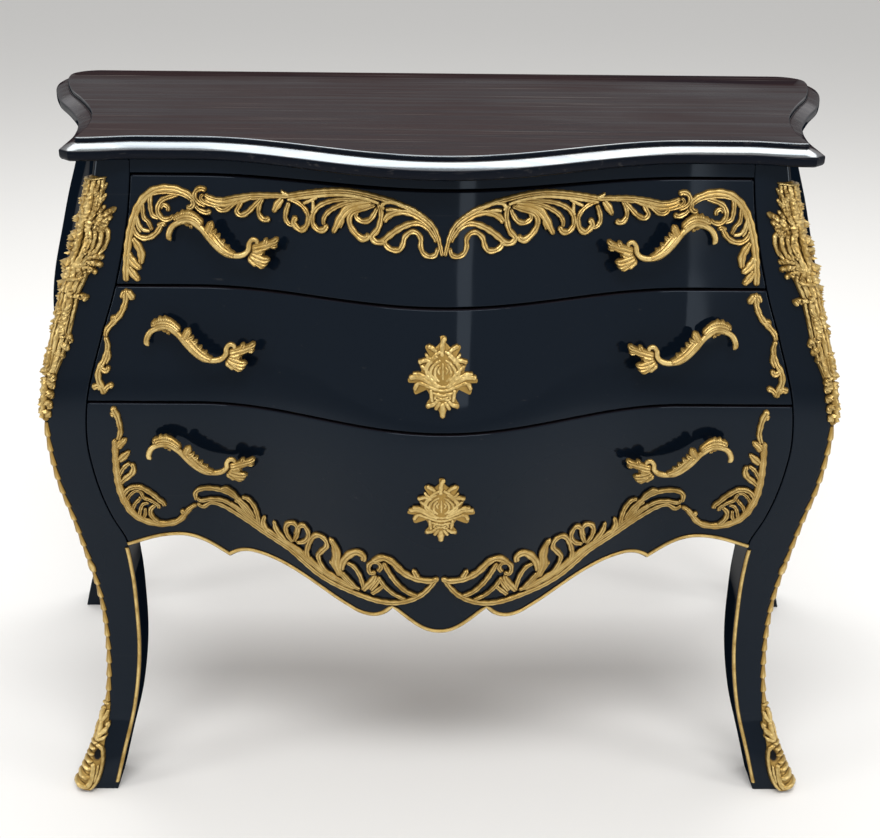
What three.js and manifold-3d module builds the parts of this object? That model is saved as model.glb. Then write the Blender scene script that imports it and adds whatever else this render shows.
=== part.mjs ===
// A bombe commode chest: three serpentine drawers on tall swept legs, black lacquer with gilt metal mounts.
// Millimetres, +Z up, the front faces -Y and +X is the right hand of someone who stands before it.
// Inside the file y = 0 is the line through the two front corners of the top's upper edge.
// At the end the group is moved so that the origin is the middle of the chest's footprint, on the floor.
import * as THREE from "three";
import { mergeVertices } from "three/addons/utils/BufferGeometryUtils.js";
import Module from "manifold-3d";

const wasm = await Module();
wasm.setup();

// Overall sizes
const chestHeight = 850;
const topThickness = 24;
const topCornerHalfWidth = 411;
const topDepth = 460;
const carcassHeight = chestHeight - topThickness;

// Corner posts, which run down into the legs
const neckHalfWidth = 396;
const bellyBulge = 63;
const neckSetback = 7;
const postNeckWidth = 41;
const postDepth = 50;
const cornerRadius = 9;
const backPostWidth = 45;
const backPostFront = 400;
const backPostBack = 445;
const sideFlare = 106;

// Serpentine front
const bowDepth = 88;
const bowHalfWidth = 285;
const frontThickness = 22;
const drawerGap = 3;
const sideGap = 1.5;

// The rail and the three drawer fronts hang below one another from the case's top.
const topRailHeight = 16;
const drawerOneHeight = 119.5;
const drawerTwoHeight = 131;
const drawerThreeHeight = 278.5;
const topRailBottom = carcassHeight - topRailHeight;
const drawerOneTop = topRailBottom - drawerGap;
const drawerOneBottom = drawerOneTop - drawerOneHeight;
const drawerTwoTop = drawerOneBottom - drawerGap;
const drawerTwoBottom = drawerTwoTop - drawerTwoHeight;
const drawerThreeTop = drawerTwoBottom - drawerGap;

// Scalloped apron, which is the lower edge of the third drawer front
const apronHalfWidth = 385;
const apronBottom = drawerThreeTop - drawerThreeHeight;
const apronRise = 96;

// Top board and its moulding
const topBow = 91;
const topCornerDip = 12;
const topCornerDipLength = 70;
const topBackCornerRadius = 38;
const mouldingReach = 17;
const mouldingFillet = 5.5;
const mouldingStep = 2;
const mouldingSlopeDrop = 6;
const mouldingNoseRadius = 3;

// Drawer boxes, each set against its own front
const boxClearance = 8;
const boxSideThickness = 12;
const boxBackThickness = 12;
const boxBack = 390;
const boxBottomThickness = 6;
const boxBottomInset = 6;
const boxBottomFrontGap = 2.2;
const boxOneLift = 12.5;
const boxOneHeight = 90;
const boxTwoLift = 13.5;
const boxTwoHeight = 100;
const boxThreeDrop = 20.5;
const boxThreeHeight = 130;
const boxOneBottom = drawerOneBottom + boxOneLift;
const boxTwoBottom = drawerTwoBottom + boxTwoLift;
const boxThreeBottom = drawerThreeTop - boxThreeDrop - boxThreeHeight;

// Drawer runners
const runnerLedge = 25;
const runnerThickness = 14;
const runnerGuideThickness = 12;
const runnerGuideHeight = 18;
const runnerGuideGap = 1;

// Case boards
const jointClearance = 0.3;
const curvedClearance = 0.9;
const floorDrop = 1.7;
const floorThickness = 12;
const floorClearance = 1.6;
const floorTop = boxThreeBottom - jointClearance - runnerThickness - floorDrop;
const panelDrop = 16;
const panelBottom = floorTop - floorThickness - panelDrop;
const sideThickness = 15;
const sideApronDrop = 34;
const backThickness = 8;
const railThickness = 18;
const railSetback = 2;
const railClearance = 0.82;

// Gilt mounts
const seatGap = 0.9;
const mountHeight = 5;
const mergeTolerance = 0.1;
const strokeDetailShare = 0.64;
const cornerScrollSize = 100;
const cornerScrollOuter = 366;
const cornerScrollLift = 2.5;
const spraySize = 286;
const sprayLift = 50.5;
const edgeLeafSize = 100;
const edgeLeafOuter = 406;
const edgeLeafLift = 2.5;
const lowerScrollSize = 99;
const lowerScrollOuter = 394;
const lowerScrollLift = 103;
const lowerSpraySize = 298;
const lowerSprayLift = 32;
const beadWidth = 5;
const beadHeight = 2.5;
const beadInset = 0.5;
const legBeadBottom = 10;
const legBeadLift = 75;

// Escutcheons
const escutcheonHeight = 88;
const escutcheonTwoLift = 17.5;
const escutcheonThreeLift = 140;
const escutcheonEdge = 1.5;
const escutcheonSink = 8;
const escutcheonDome = 5;

// Handles
const handleLength = 132;
const handleRadius = 3.6;
const handleStandoff = 13;
const handleReach = 26;
const handleFootRadius = 4.5;
const handleLeafThickness = 4;
const handleOneOuter = 311;
const handleOneLift = 24.5;
const handleTwoOuter = 341;
const handleTwoLift = 38.5;
const handleThreeOuter = 349;
const handleThreeLift = 180;

// Corner mounts, edge strips and sabots, which wrap round the post's corner
const cornerMountDrop = 20;
const cornerMountLength = 279;
const cornerMountTop = carcassHeight - cornerMountDrop;
const cornerMountBottom = cornerMountTop - cornerMountLength;
const cornerMountWidth = 60;
const cornerMountHeight = 8;
const cornerLeafHeight = 11;
const cornerSprigHeight = 6;
const edgeStripWidth = 10;
const edgeStripHeight = 3.6;
const edgeStripPitch = 24;
const stripLift = 0.7;
const sabotBottom = 2;
const sabotTop = 114;
const sabotWidth = 38;
const sabotHeight = 19;
const wrapGap = 0.5;
const wrapSink = 3;

// How far the corner stands out, as a share of the belly's bulge, by share of the case's height
const cornerShares = [
  [0, 1.12], [0.05, 0.95], [0.09, 0.79], [0.13, 0.66], [0.17, 0.59], [0.21, 0.553], [0.26, 0.54],
  [0.31, 0.56], [0.36, 0.63], [0.42, 0.76], [0.48, 0.89], [0.535, 1.03], [0.59, 1.097], [0.645, 1.105],
  [0.7, 0.99], [0.77, 0.745], [0.835, 0.51], [0.91, 0.21], [1, 0],
];
// The same for how far the post's face comes forward
const forwardShares = [
  [0, 1.1], [0.06, 0.84], [0.12, 0.57], [0.22, 0.41], [0.32, 0.445], [0.425, 0.62],
  [0.52, 0.84], [0.63, 1], [0.725, 0.84], [0.835, 0.51], [0.91, 0.21], [1, 0],
];
// The same for the post's inner edge, along which the drawer fronts end
const innerEdgeShares = [
  [0, 1.06], [0.056, 0.88], [0.134, 0.63], [0.223, 0.476], [0.32, 0.437], [0.376, 0.444],
  [0.43, 0.51], [0.477, 0.74], [0.525, 0.9], [0.575, 0.99], [0.615, 1.01], [0.672, 0.94],
  [0.712, 0.81], [0.775, 0.556], [0.83, 0.333], [0.902, 0.127], [0.977, 0.008], [1, 0],
];
// How deep the front's bow is by share of height, and how far the side has flared by share of depth
const bowShares = [[0, 0.97], [0.33, 0.97], [0.668, 1], [0.83, 0.865], [1, 0.75]];
const flareShares = [
  [-0.3, 0], [0, 0], [0.13, 0], [0.2, 0.03], [0.26, 0.07], [0.35, 0.16],
  [0.44, 0.3], [0.53, 0.46], [0.65, 0.69], [0.83, 0.92], [0.93, 0.98], [1.05, 1],
];

// A smooth curve through rows of [place, value], as a function of the place.
function smoothThrough(rows) {
  const slope = (i) => {
    const [before, after] = [rows[Math.max(i - 1, 0)], rows[Math.min(i + 1, rows.length - 1)]];
    return (after[1] - before[1]) / (after[0] - before[0]);
  };
  return (place) => {
    let i = 0;
    while (i < rows.length - 2 && place > rows[i + 1][0]) i++;
    const span = rows[i + 1][0] - rows[i][0];
    const t = THREE.MathUtils.clamp((place - rows[i][0]) / span, 0, 1);
    const [a, b] = [rows[i][1], rows[i + 1][1]];
    const [pa, pb] = [slope(i) * span, slope(i + 1) * span];
    return a + pa * t + (3 * (b - a) - 2 * pa - pb) * t * t + (2 * (a - b) + pa + pb) * t ** 3;
  };
}

const cornerShare = smoothThrough(cornerShares);
const forwardShare = smoothThrough(forwardShares);
const innerEdgeShare = smoothThrough(innerEdgeShares);
const bowShare = smoothThrough(bowShares);
const flareShare = smoothThrough(flareShares);

// Half-width of the front corner, and of the post's inner edge, at a height
const cornerX = (z) => neckHalfWidth + bellyBulge * cornerShare(z / carcassHeight);
const innerX = (z) => neckHalfWidth - postNeckWidth + bellyBulge * innerEdgeShare(z / carcassHeight);
// The post's front and back faces
const postFront = (z) => neckSetback - bellyBulge * forwardShare(z / carcassHeight);
const postBack = (z) => postFront(z) + postDepth;
// The bell that every cross-section of the front follows, 1 in the middle and 0 past its half-width
const bell = (x) => (Math.abs(x) < bowHalfWidth ? Math.cos((Math.PI * x) / (2 * bowHalfWidth)) ** 2 : 0);
// The front's surface
const frontY = (x, z) => postFront(z) - bowDepth * bowShare(z / carcassHeight) * bell(x);
// The side's surface: the corner's profile, flared out towards the back
const flare = (y) => sideFlare * flareShare(y / topDepth);
const sideX = (y, z) => cornerX(z) + flare(y);
const backPostInner = (z) => sideX(backPostFront, z) - backPostWidth;

const point = (x, y, z) => new THREE.Vector3(x, y, z);
function spread(from, to, count) {
  return Array.from({ length: count + 1 }, (_, i) => from + ((to - from) * i) / count);
}

// Turns a closed geometry's faces round if they point inwards.
function outward(geometry) {
  const p = geometry.attributes.position;
  const index = geometry.index.array;
  const [a, b, c] = [point(), point(), point()];
  let volume = 0;
  for (let i = 0; i < index.length; i += 3) {
    a.fromBufferAttribute(p, index[i]);
    b.fromBufferAttribute(p, index[i + 1]);
    c.fromBufferAttribute(p, index[i + 2]);
    volume += a.dot(b.cross(c));
  }
  if (volume < 0) {
    for (let i = 0; i < index.length; i += 3) [index[i], index[i + 1]] = [index[i + 1], index[i]];
  }
  return geometry;
}

// The two ends of a loft: a strip across each end ring, or a flat outline cut into triangles.
function stripCap(ring) {
  const faces = [];
  for (let k = 0; k + 1 < ring.length - 1 - k; k++) {
    const far = ring.length - 1 - k;
    faces.push([k, k + 1, far]);
    if (k + 1 < far - 1) faces.push([k + 1, far - 1, far]);
  }
  return faces;
}
const capOf = (outline) => THREE.ShapeUtils.triangulateShape(outline, []);
const flatCap = (ring) => capOf(ring.map((p) => new THREE.Vector2(p.x, p.y)));
const uprightCap = (ring) => capOf(ring.map((p) => new THREE.Vector2(p.x, p.z)));

// A closed body through rings that all have the same number of points.
function loft(rings, cap = stripCap) {
  const count = rings[0].length;
  const index = [];
  rings.slice(1).forEach((_, r) => {
    for (let k = 0; k < count; k++) {
      const next = (k + 1) % count;
      const [a, b, c, d] = [r * count + k, r * count + next, (r + 1) * count + next, (r + 1) * count + k];
      index.push(a, b, c, a, c, d);
    }
  });
  const last = (rings.length - 1) * count;
  const faces = cap(rings[0]);
  const wallsRunForward = faces.some(([a, b]) => b === (a + 1) % count);
  for (const [a, b, c] of faces) {
    if (wallsRunForward) index.push(b, a, c, last + a, last + b, last + c);
    else index.push(a, b, c, last + b, last + a, last + c);
  }
  const geometry = new THREE.BufferGeometry().setFromPoints(rings.flat());
  geometry.setIndex(new THREE.BufferAttribute(new Uint32Array(index), 1));
  return outward(geometry);
}

// A curved board: columns of outer points, and the same columns moved through the board's thickness.
function board(columns, throughThickness) {
  return loft(columns.map((column) => [...column, ...column.map(throughThickness).reverse()]));
}

function mirrored(geometry) {
  const other = geometry.index ? geometry.clone() : mergeVertices(geometry);
  return outward(other.scale(-1, 1, 1));
}

function box(x0, x1, y0, y1, z0, z1) {
  const geometry = new THREE.BoxGeometry(x1 - x0, y1 - y0, z1 - z0);
  return geometry.translate((x0 + x1) / 2, (y0 + y1) / 2, (z0 + z1) / 2);
}

// An outline in X and Y, raised from one height to another
function plate(outline, bottom, top) {
  const shape = new THREE.Shape(outline.map(([x, y]) => new THREE.Vector2(x, y)));
  const geometry = new THREE.ExtrudeGeometry(shape, { depth: top - bottom, bevelEnabled: false });
  return geometry.translate(0, 0, bottom);
}

// A closed geometry as a solid for cutting and joining, and back
function solidOf(geometry) {
  const bare = geometry.clone();
  bare.deleteAttribute("normal");
  bare.deleteAttribute("uv");
  const merged = mergeVertices(bare);
  return new wasm.Manifold(
    new wasm.Mesh({
      numProp: 3,
      vertProperties: merged.attributes.position.array,
      triVerts: new Uint32Array(merged.index.array),
    }),
  );
}
function geometryOf(solid) {
  const mesh = solid.simplify(mergeTolerance).getMesh();
  const geometry = new THREE.BufferGeometry();
  geometry.setAttribute("position", new THREE.BufferAttribute(mesh.vertProperties, 3));
  return geometry.setIndex(new THREE.BufferAttribute(mesh.triVerts, 1));
}
const joined = (geometries) => geometryOf(geometries.map(solidOf).reduce((all, next) => all.add(next)));

// Materials
const lacquer = new THREE.MeshStandardMaterial({ color: 0x0c1118, roughness: 0.16, metalness: 0 });
const gilt = new THREE.MeshStandardMaterial({ color: 0xc9a04e, roughness: 0.36, metalness: 1 });
const drawerWood = new THREE.MeshStandardMaterial({ color: 0xb48f61, roughness: 0.62, metalness: 0 });
const backWood = new THREE.MeshStandardMaterial({ color: 0x6f5137, roughness: 0.7, metalness: 0 });

function piece(group, name, geometry, material) {
  const mesh = new THREE.Mesh(geometry, material);
  mesh.name = name;
  group.add(mesh);
}
// The same piece on the right, and mirrored on the left
function pair(group, name, geometry, material) {
  piece(group, name + "_right", geometry, material);
  piece(group, name + "_left", mirrored(geometry), material);
}

// Top board: a moulding carried round the outline, from the upper edge down to the underside
const topFrontY = (x) => {
  const t = THREE.MathUtils.clamp((topCornerHalfWidth - Math.abs(x)) / topCornerDipLength, 0, 1);
  return topCornerDip * t * t * (3 - 2 * t) - topBow * bell(x);
};
function topOutline() {
  const frontStations = 10;
  const sideStations = 7;
  const cornerStations = 4;
  const half = spread(0, topCornerHalfWidth, frontStations).map((x) => [x, topFrontY(x)]);
  const cant = mouldingStep;
  half.push([topCornerHalfWidth + cant, cant]);
  for (const y of spread(topDepth / sideStations, topDepth - topBackCornerRadius, sideStations - 1)) {
    half.push([topCornerHalfWidth + cant + flare(y), y]);
  }
  const straightX = topCornerHalfWidth + cant + flare(topDepth - topBackCornerRadius);
  const cornerMiddleX = straightX - topBackCornerRadius;
  for (const angle of spread(Math.PI / (2 * cornerStations), Math.PI / 2, cornerStations - 1)) {
    const across = cornerMiddleX + topBackCornerRadius * Math.cos(angle);
    half.push([across, topDepth - topBackCornerRadius * (1 - Math.sin(angle))]);
  }
  const otherHalf = half.slice(1).reverse().map(([x, y]) => [-x, y]);
  return [...half, ...otherHalf].map(([x, y]) => new THREE.Vector2(x, y));
}
// The outline moved out by a distance, except along the straight back edge
function outset(outline, distance) {
  const count = outline.length;
  return outline.map((p, i) => {
    const before = outline[(i + count - 1) % count];
    const after = outline[(i + 1) % count];
    const u = p.clone().sub(before).normalize();
    const v = after.clone().sub(p).normalize();
    const normal = new THREE.Vector2(u.y + v.y, -u.x - v.x).normalize();
    const mitre = distance / Math.max(normal.x * u.y - normal.y * u.x, 0.5);
    const moved = p.clone().addScaledVector(normal, mitre);
    return new THREE.Vector2(moved.x, Math.min(moved.y, topDepth));
  });
}
function topBoard() {
  const outline = topOutline();
  const noseTop = chestHeight - mouldingFillet - mouldingSlopeDrop;
  const profile = [
    [0, chestHeight],
    [0, chestHeight - mouldingFillet],
    [mouldingStep, chestHeight - mouldingFillet],
    [mouldingReach - mouldingNoseRadius, noseTop],
    [mouldingReach, noseTop - mouldingNoseRadius],
    [mouldingReach, carcassHeight + mouldingNoseRadius],
    [mouldingReach - mouldingNoseRadius, carcassHeight],
  ];
  const rings = profile.map(([out, z]) => outset(outline, out).map((p) => point(p.x, p.y, z)));
  return loft(rings, flatCap);
}

// Heights at which the posts and the panels between them have their rows
const postLevels = spread(0, carcassHeight, 18);

// Front posts and legs: one section carried down the corner's profile
function frontPost() {
  return loft(
    postLevels.map((z) => {
      const [x, y] = [cornerX(z), postFront(z)];
      const slack = cornerRadius * (1 - Math.SQRT1_2);
      return [
        point(innerX(z), y, z),
        point(x - cornerRadius, y, z),
        point(x - slack, y + slack, z),
        point(x, y + cornerRadius, z),
        point(x, postBack(z), z),
        point(innerX(z), postBack(z), z),
      ];
    }),
  );
}
function backPost() {
  return loft(
    postLevels.filter((_, i) => i % 2 === 0).map((z) => [
      point(backPostInner(z), backPostFront, z),
      point(sideX(backPostFront, z), backPostFront, z),
      point(sideX(backPostBack, z), backPostBack, z),
      point(backPostInner(z), backPostBack, z),
    ]),
  );
}

// Side panel: the flared surface between the posts, with a shaped lower edge
function sidePanel() {
  const across = 7;
  const upperLevels = postLevels.filter((z) => z > panelBottom + drawerGap);
  const columns = spread(0, 1, across).map((u) => {
    const bottom = panelBottom - sideApronDrop * Math.sin(Math.PI * u) ** 2;
    return [bottom, ...upperLevels].map((z) => {
      const y = THREE.MathUtils.lerp(postBack(z) + curvedClearance, backPostFront - jointClearance, u);
      return point(sideX(y, z), y, z);
    });
  });
  return board(columns, (p) => point(p.x - sideThickness, p.y, p.z));
}

function backPanel() {
  const levels = [panelBottom, ...postLevels.filter((z, i) => z > panelBottom + drawerGap && i % 2 === 0)];
  const columns = [-1, 1].map((side) =>
    levels.map((z) => point(side * (backPostInner(z) - curvedClearance), backPostBack - backThickness, z)),
  );
  return board(columns, (p) => point(p.x, backPostBack, p.z));
}

// Stations across the front, closer where it bows
const frontStationShares = spread(-1, 1, 20);
const hiddenStations = 14;
const throughFront = (p) => point(p.x, p.y + frontThickness, p.z);

function topRail() {
  const columns = frontStationShares.map((u) =>
    [topRailBottom, carcassHeight].map((z) => {
      const x = u * (innerX(z) - jointClearance);
      return point(x, frontY(x, z), z);
    }),
  );
  return board(columns, throughFront);
}

// Rail between two drawers, behind their fronts
function dividerRail(upperDrawerBottom) {
  const joint = upperDrawerBottom - drawerGap / 2;
  const [bottom, top] = [joint - railThickness / 2, joint + railThickness / 2];
  const halfWidth = Math.min(innerX(bottom), innerX(top)) - railClearance;
  const back = Math.min(postBack(bottom), postBack(top));
  const front = spread(-halfWidth, halfWidth, hiddenStations).map((x) => {
    const nearest = Math.max(frontY(x, bottom), frontY(x, top));
    return [x, nearest + frontThickness + railSetback];
  });
  return plate([...front, [halfWidth, back], [-halfWidth, back]], bottom, top);
}

// Floor of the case: between the posts in front, wider behind them, and notched round the back posts
function floorBoard() {
  const bottom = floorTop - floorThickness;
  const nearest = (x) => Math.max(frontY(x, bottom), frontY(x, floorTop));
  const frontHalf = Math.min(innerX(bottom), innerX(floorTop)) - curvedClearance;
  const half = spread(0, frontHalf, hiddenStations / 2).map((x) => [
    x,
    nearest(x) + frontThickness + railSetback,
  ]);
  const behindPost = postBack(bottom) + jointClearance;
  half.push([frontHalf, behindPost]);
  for (const y of spread(behindPost, backPostFront - jointClearance, 6)) {
    half.push([sideX(y, bottom) - sideThickness - floorClearance, y]);
  }
  half.push([backPostInner(bottom) - curvedClearance, backPostFront - jointClearance]);
  half.push([backPostInner(bottom) - curvedClearance, backPostBack - backThickness - jointClearance]);
  const otherHalf = half.slice(1).reverse().map(([x, y]) => [-x, y]);
  return plate([...half, ...otherHalf], bottom, floorTop);
}

// Lower edge of the apron: arcs between cusps, by shares of its half-width and of its rise
function apronEdge(stationsPerArc) {
  const s = (x, z) => [apronHalfWidth * x, apronBottom + apronRise * z];
  const edge = new THREE.Path();
  edge.moveTo(...s(0, 0));
  edge.bezierCurveTo(...s(0.057, 0), ...s(0.093, 0.16), ...s(0.148, 0.34));
  edge.bezierCurveTo(...s(0.18, 0.12), ...s(0.238, 0.1), ...s(0.29, 0.22));
  edge.bezierCurveTo(...s(0.375, 0.42), ...s(0.466, 0.79), ...s(0.549, 0.79));
  edge.bezierCurveTo(...s(0.6, 0.79), ...s(0.634, 0.74), ...s(0.678, 0.66));
  edge.bezierCurveTo(...s(0.733, 0.82), ...s(0.772, 0.98), ...s(0.834, 0.98));
  edge.bezierCurveTo(...s(0.894, 0.98), ...s(0.938, 0.9), ...s(1, 0.81));
  const half = edge.getPoints(stationsPerArc);
  const mirror = half.slice(1).reverse().map((p) => new THREE.Vector2(-p.x, p.y));
  return [...mirror, ...half];
}

// A drawer front between two heights, on the serpentine surface
function drawerFront(bottomOf, top, stations, rows) {
  const columns = stations.map((u) =>
    spread(bottomOf(u), top, rows).map((z) => {
      const x = u * (innerX(z) - sideGap);
      return point(x, frontY(x, z), z);
    }),
  );
  return board(columns, throughFront);
}
function apronDrawerFront(top) {
  const edge = apronEdge(3);
  const cornerEdge = apronHalfWidth;
  const heights = new Map(edge.map((p) => [p.x / cornerEdge, p.y]));
  return drawerFront((u) => heights.get(u), top, [...heights.keys()], 5);
}

// Drawer box behind a front: two sides, a back and a bottom
function drawerBox(group, name, bottom, height) {
  const top = bottom + height;
  const halfWidth = Math.min(innerX(bottom), innerX(top)) - boxClearance;
  const inside = halfWidth - boxSideThickness;
  const frontEdge = (z) => frontY(inside, z) + frontThickness + curvedClearance;
  const side = new THREE.Shape(spread(bottom, top, 6).map((z) => new THREE.Vector2(frontEdge(z), z)));
  side.lineTo(boxBack, top);
  side.lineTo(boxBack, bottom);
  const sideGeometry = new THREE.ExtrudeGeometry(side, { depth: boxSideThickness, bevelEnabled: false });
  sideGeometry.applyMatrix4(new THREE.Matrix4().makeBasis(point(0, 1, 0), point(0, 0, 1), point(1, 0, 0)));
  pair(group, name + "_side", sideGeometry.translate(inside, 0, 0), drawerWood);
  const backFront = boxBack - boxBackThickness;
  const between = inside - jointClearance;
  piece(group, name + "_back", box(-between, between, backFront, boxBack, bottom, top), drawerWood);
  const under = bottom + boxBottomInset;
  const over = under + boxBottomThickness;
  const frontStations = spread(-between, between, hiddenStations);
  const front = frontStations.map((x) => {
    const nearest = Math.max(frontY(x, under), frontY(x, over));
    return [x, nearest + frontThickness + boxBottomFrontGap];
  });
  const panelBack = backFront - jointClearance;
  const outline = [...front, [between, panelBack], [-between, panelBack]];
  piece(group, name + "_bottom", plate(outline, under, over), drawerWood);
}

// Runner: a ledge under the drawer's side and a guide beside it, from the front post to the back panel
function runner(bottom, boxHeight) {
  const top = bottom + boxHeight;
  const halfWidth = Math.min(innerX(bottom), innerX(top)) - boxClearance;
  const [low, high] = [bottom - jointClearance - runnerThickness, bottom - jointClearance];
  const outer = halfWidth + runnerGuideGap + runnerGuideThickness;
  const start = Math.max(postBack(low), postBack(bottom + runnerGuideHeight)) + jointClearance;
  const end = backPostBack - backThickness - jointClearance;
  const section = new THREE.Shape();
  section.moveTo(halfWidth - runnerLedge, low);
  section.lineTo(outer, low);
  section.lineTo(outer, bottom + runnerGuideHeight);
  section.lineTo(halfWidth + runnerGuideGap, bottom + runnerGuideHeight);
  section.lineTo(halfWidth + runnerGuideGap, high);
  section.lineTo(halfWidth - runnerLedge, high);
  const geometry = new THREE.ExtrudeGeometry(section, { depth: end - start, bevelEnabled: false });
  return geometry.rotateX(Math.PI / 2).translate(0, end, 0);
}

// Openwork mounts are drawn as strokes on the surface that carries them. Each stroke has the places of its
// centre line and its width at its start, middle and end, all as shares of the mount's size.
const cornerScrollShares = [
  [[[0.035, 0], [0.045, 0.2], [0.065, 0.4], [0.1, 0.58], [0.16, 0.76], [0.25, 0.91], [0.38, 1.01],
    [0.55, 1.035], [0.7, 1], [0.8, 0.94], [0.84, 0.87], [0.77, 0.83]], [0.07, 0.085, 0.06]],
  [[[0.68, 0.98], [0.5, 0.93], [0.42, 0.84], [0.42, 0.75], [0.49, 0.69], [0.58, 0.74]], [0.05, 0.06, 0.05]],
  [[[0.38, 0.98], [0.33, 0.88], [0.34, 0.78], [0.39, 0.72], [0.46, 0.71]], [0.05, 0.055, 0.05]],
  [[[0.25, 0.88], [0.25, 0.74], [0.3, 0.66], [0.34, 0.58]], [0.05, 0.05, 0.05]],
  [[[0.13, 0.64], [0.16, 0.53], [0.24, 0.49], [0.34, 0.51], [0.43, 0.59], [0.46, 0.68]],
    [0.05, 0.06, 0.05]],
  [[[0.42, 0.62], [0.51, 0.62]], [0.07, 0.06, 0.05]],
  [[[0.1, 0.5], [0.17, 0.41], [0.21, 0.32], [0.2, 0.2]], [0.03, 0.09, 0.04]],
  [[[0.05, 0.34], [0.09, 0.26], [0.14, 0.2], [0.215, 0.145]], [0.05, 0.09, 0.03]],
  [[[0.05, 0.18], [0.11, 0.1], [0.2, 0.025]], [0.05, 0.08, 0.04]],
];
const sprayShares = [
  [[[0.1, 0.165], [0.2, 0.178], [0.3, 0.186], [0.38, 0.188], [0.46, 0.205], [0.54, 0.221], [0.62, 0.226],
    [0.7, 0.223], [0.78, 0.207], [0.86, 0.182], [0.92, 0.152], [0.965, 0.105], [0.982, 0.05], [0.987, 0.022]],
    [0.024, 0.026, 0.016]],
  [[[0.08, 0.192], [0.045, 0.193], [0.028, 0.165], [0.055, 0.144], [0.12, 0.147], [0.18, 0.168]],
    [0.016, 0.018, 0.014]],
  [[[0.2, 0.172], [0.165, 0.15], [0.14, 0.116], [0.105, 0.118], [0.1, 0.14]], [0.016, 0.02, 0.014]],
  [[[0.26, 0.172], [0.205, 0.148], [0.187, 0.12], [0.2, 0.1], [0.235, 0.117], [0.29, 0.172]],
    [0.014, 0.02, 0.016]],
  [[[0.35, 0.182], [0.305, 0.165], [0.29, 0.125], [0.298, 0.096], [0.322, 0.1]], [0.014, 0.018, 0.018]],
  [[[0.39, 0.178], [0.365, 0.15], [0.338, 0.115]], [0.018, 0.024, 0.008]],
  [[[0.43, 0.18], [0.398, 0.15], [0.39, 0.11], [0.41, 0.088], [0.432, 0.12]], [0.016, 0.02, 0.014]],
  [[[0.5, 0.2], [0.512, 0.165], [0.49, 0.13], [0.46, 0.135]], [0.018, 0.02, 0.014]],
  [[[0.62, 0.208], [0.54, 0.175], [0.507, 0.12], [0.525, 0.082], [0.555, 0.095]], [0.016, 0.018, 0.016]],
  [[[0.7, 0.205], [0.63, 0.16], [0.605, 0.11], [0.57, 0.06]], [0.018, 0.03, 0.008]],
  [[[0.76, 0.195], [0.685, 0.17], [0.65, 0.12], [0.665, 0.075], [0.71, 0.078]], [0.014, 0.022, 0.02]],
  [[[0.77, 0.21], [0.758, 0.15], [0.742, 0.075], [0.79, 0.052]], [0.02, 0.02, 0.02]],
  [[[0.9, 0.162], [0.84, 0.178], [0.79, 0.176], [0.785, 0.158]], [0.014, 0.022, 0.012]],
  [[[0.965, 0.105], [0.93, 0.137], [0.885, 0.142], [0.83, 0.12], [0.76, 0.075]], [0.014, 0.018, 0.024]],
  [[[0.77, 0.07], [0.79, 0.045], [0.83, 0.058], [0.87, 0.1], [0.91, 0.1], [0.92, 0.045], [0.95, 0.022],
    [0.988, 0.055]], [0.024, 0.018, 0.014]],
];
const edgeLeafShares = [
  [[[0.43, 1.29], [0.42, 1.12], [0.37, 1], [0.27, 0.89], [0.2, 0.81], [0.175, 0.72], [0.2, 0.63],
    [0.18, 0.54],
    [0.11, 0.4], [0.075, 0.3], [0.085, 0.2], [0.14, 0.06]], [0.1, 0.055, 0.08]],
  [[[0.4, 1.23], [0.51, 1.18]], [0.07, 0.08, 0.05]],
  [[[0.33, 0.94], [0.25, 0.92]], [0.05, 0.05, 0.05]],
  [[[0.2, 0.55], [0.18, 0.44], [0.15, 0.35]], [0.03, 0.06, 0.06]],
  [[[0.12, 0.13], [0.06, 0.16], [0.02, 0.14]], [0.07, 0.06, 0.05]],
  [[[0.12, 0.1], [0.17, 0.16], [0.23, 0.17]], [0.05, 0.06, 0.06]],
];
const lowerScrollShares = [
  [[[0.09, 1.33], [0.08, 1.15], [0.072, 0.95], [0.072, 0.75], [0.09, 0.56], [0.14, 0.38], [0.22, 0.23],
    [0.33, 0.12], [0.5, 0.06], [0.66, 0.08], [0.79, 0.17], [0.86, 0.26], [0.94, 0.335]], [0.07, 0.09, 0.03]],
  [[[0.14, 1.32], [0.17, 1.48], [0.14, 1.62], [0.09, 1.73]], [0.09, 0.055, 0.06]],
  [[[0.14, 1.62], [0.07, 1.64]], [0.05, 0.06, 0.06]],
  [[[0.09, 1.2], [0.17, 1.27], [0.25, 1.34]], [0.08, 0.09, 0.02]],
  [[[0.09, 1.02], [0.18, 1.09], [0.27, 1.17]], [0.08, 0.07, 0.02]],
  [[[0.09, 0.8], [0.17, 0.94], [0.26, 1]], [0.06, 0.05, 0.04]],
  [[[0.1, 0.66], [0.2, 0.76], [0.27, 0.85], [0.27, 0.97]], [0.04, 0.07, 0.04]],
  [[[0.11, 0.5], [0.17, 0.61], [0.28, 0.65], [0.4, 0.6], [0.51, 0.5], [0.59, 0.37]], [0.05, 0.06, 0.04]],
  [[[0.14, 0.4], [0.19, 0.52], [0.27, 0.58], [0.34, 0.53]], [0.04, 0.045, 0.04]],
  [[[0.28, 0.17], [0.31, 0.3], [0.37, 0.4]], [0.05, 0.045, 0.04]],
  [[[0.48, 0.42], [0.42, 0.32], [0.43, 0.2], [0.55, 0.1]], [0.05, 0.055, 0.05]],
  [[[0.84, 0.25], [0.83, 0.3], [0.77, 0.3]], [0.05, 0.06, 0.07]],
];
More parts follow.
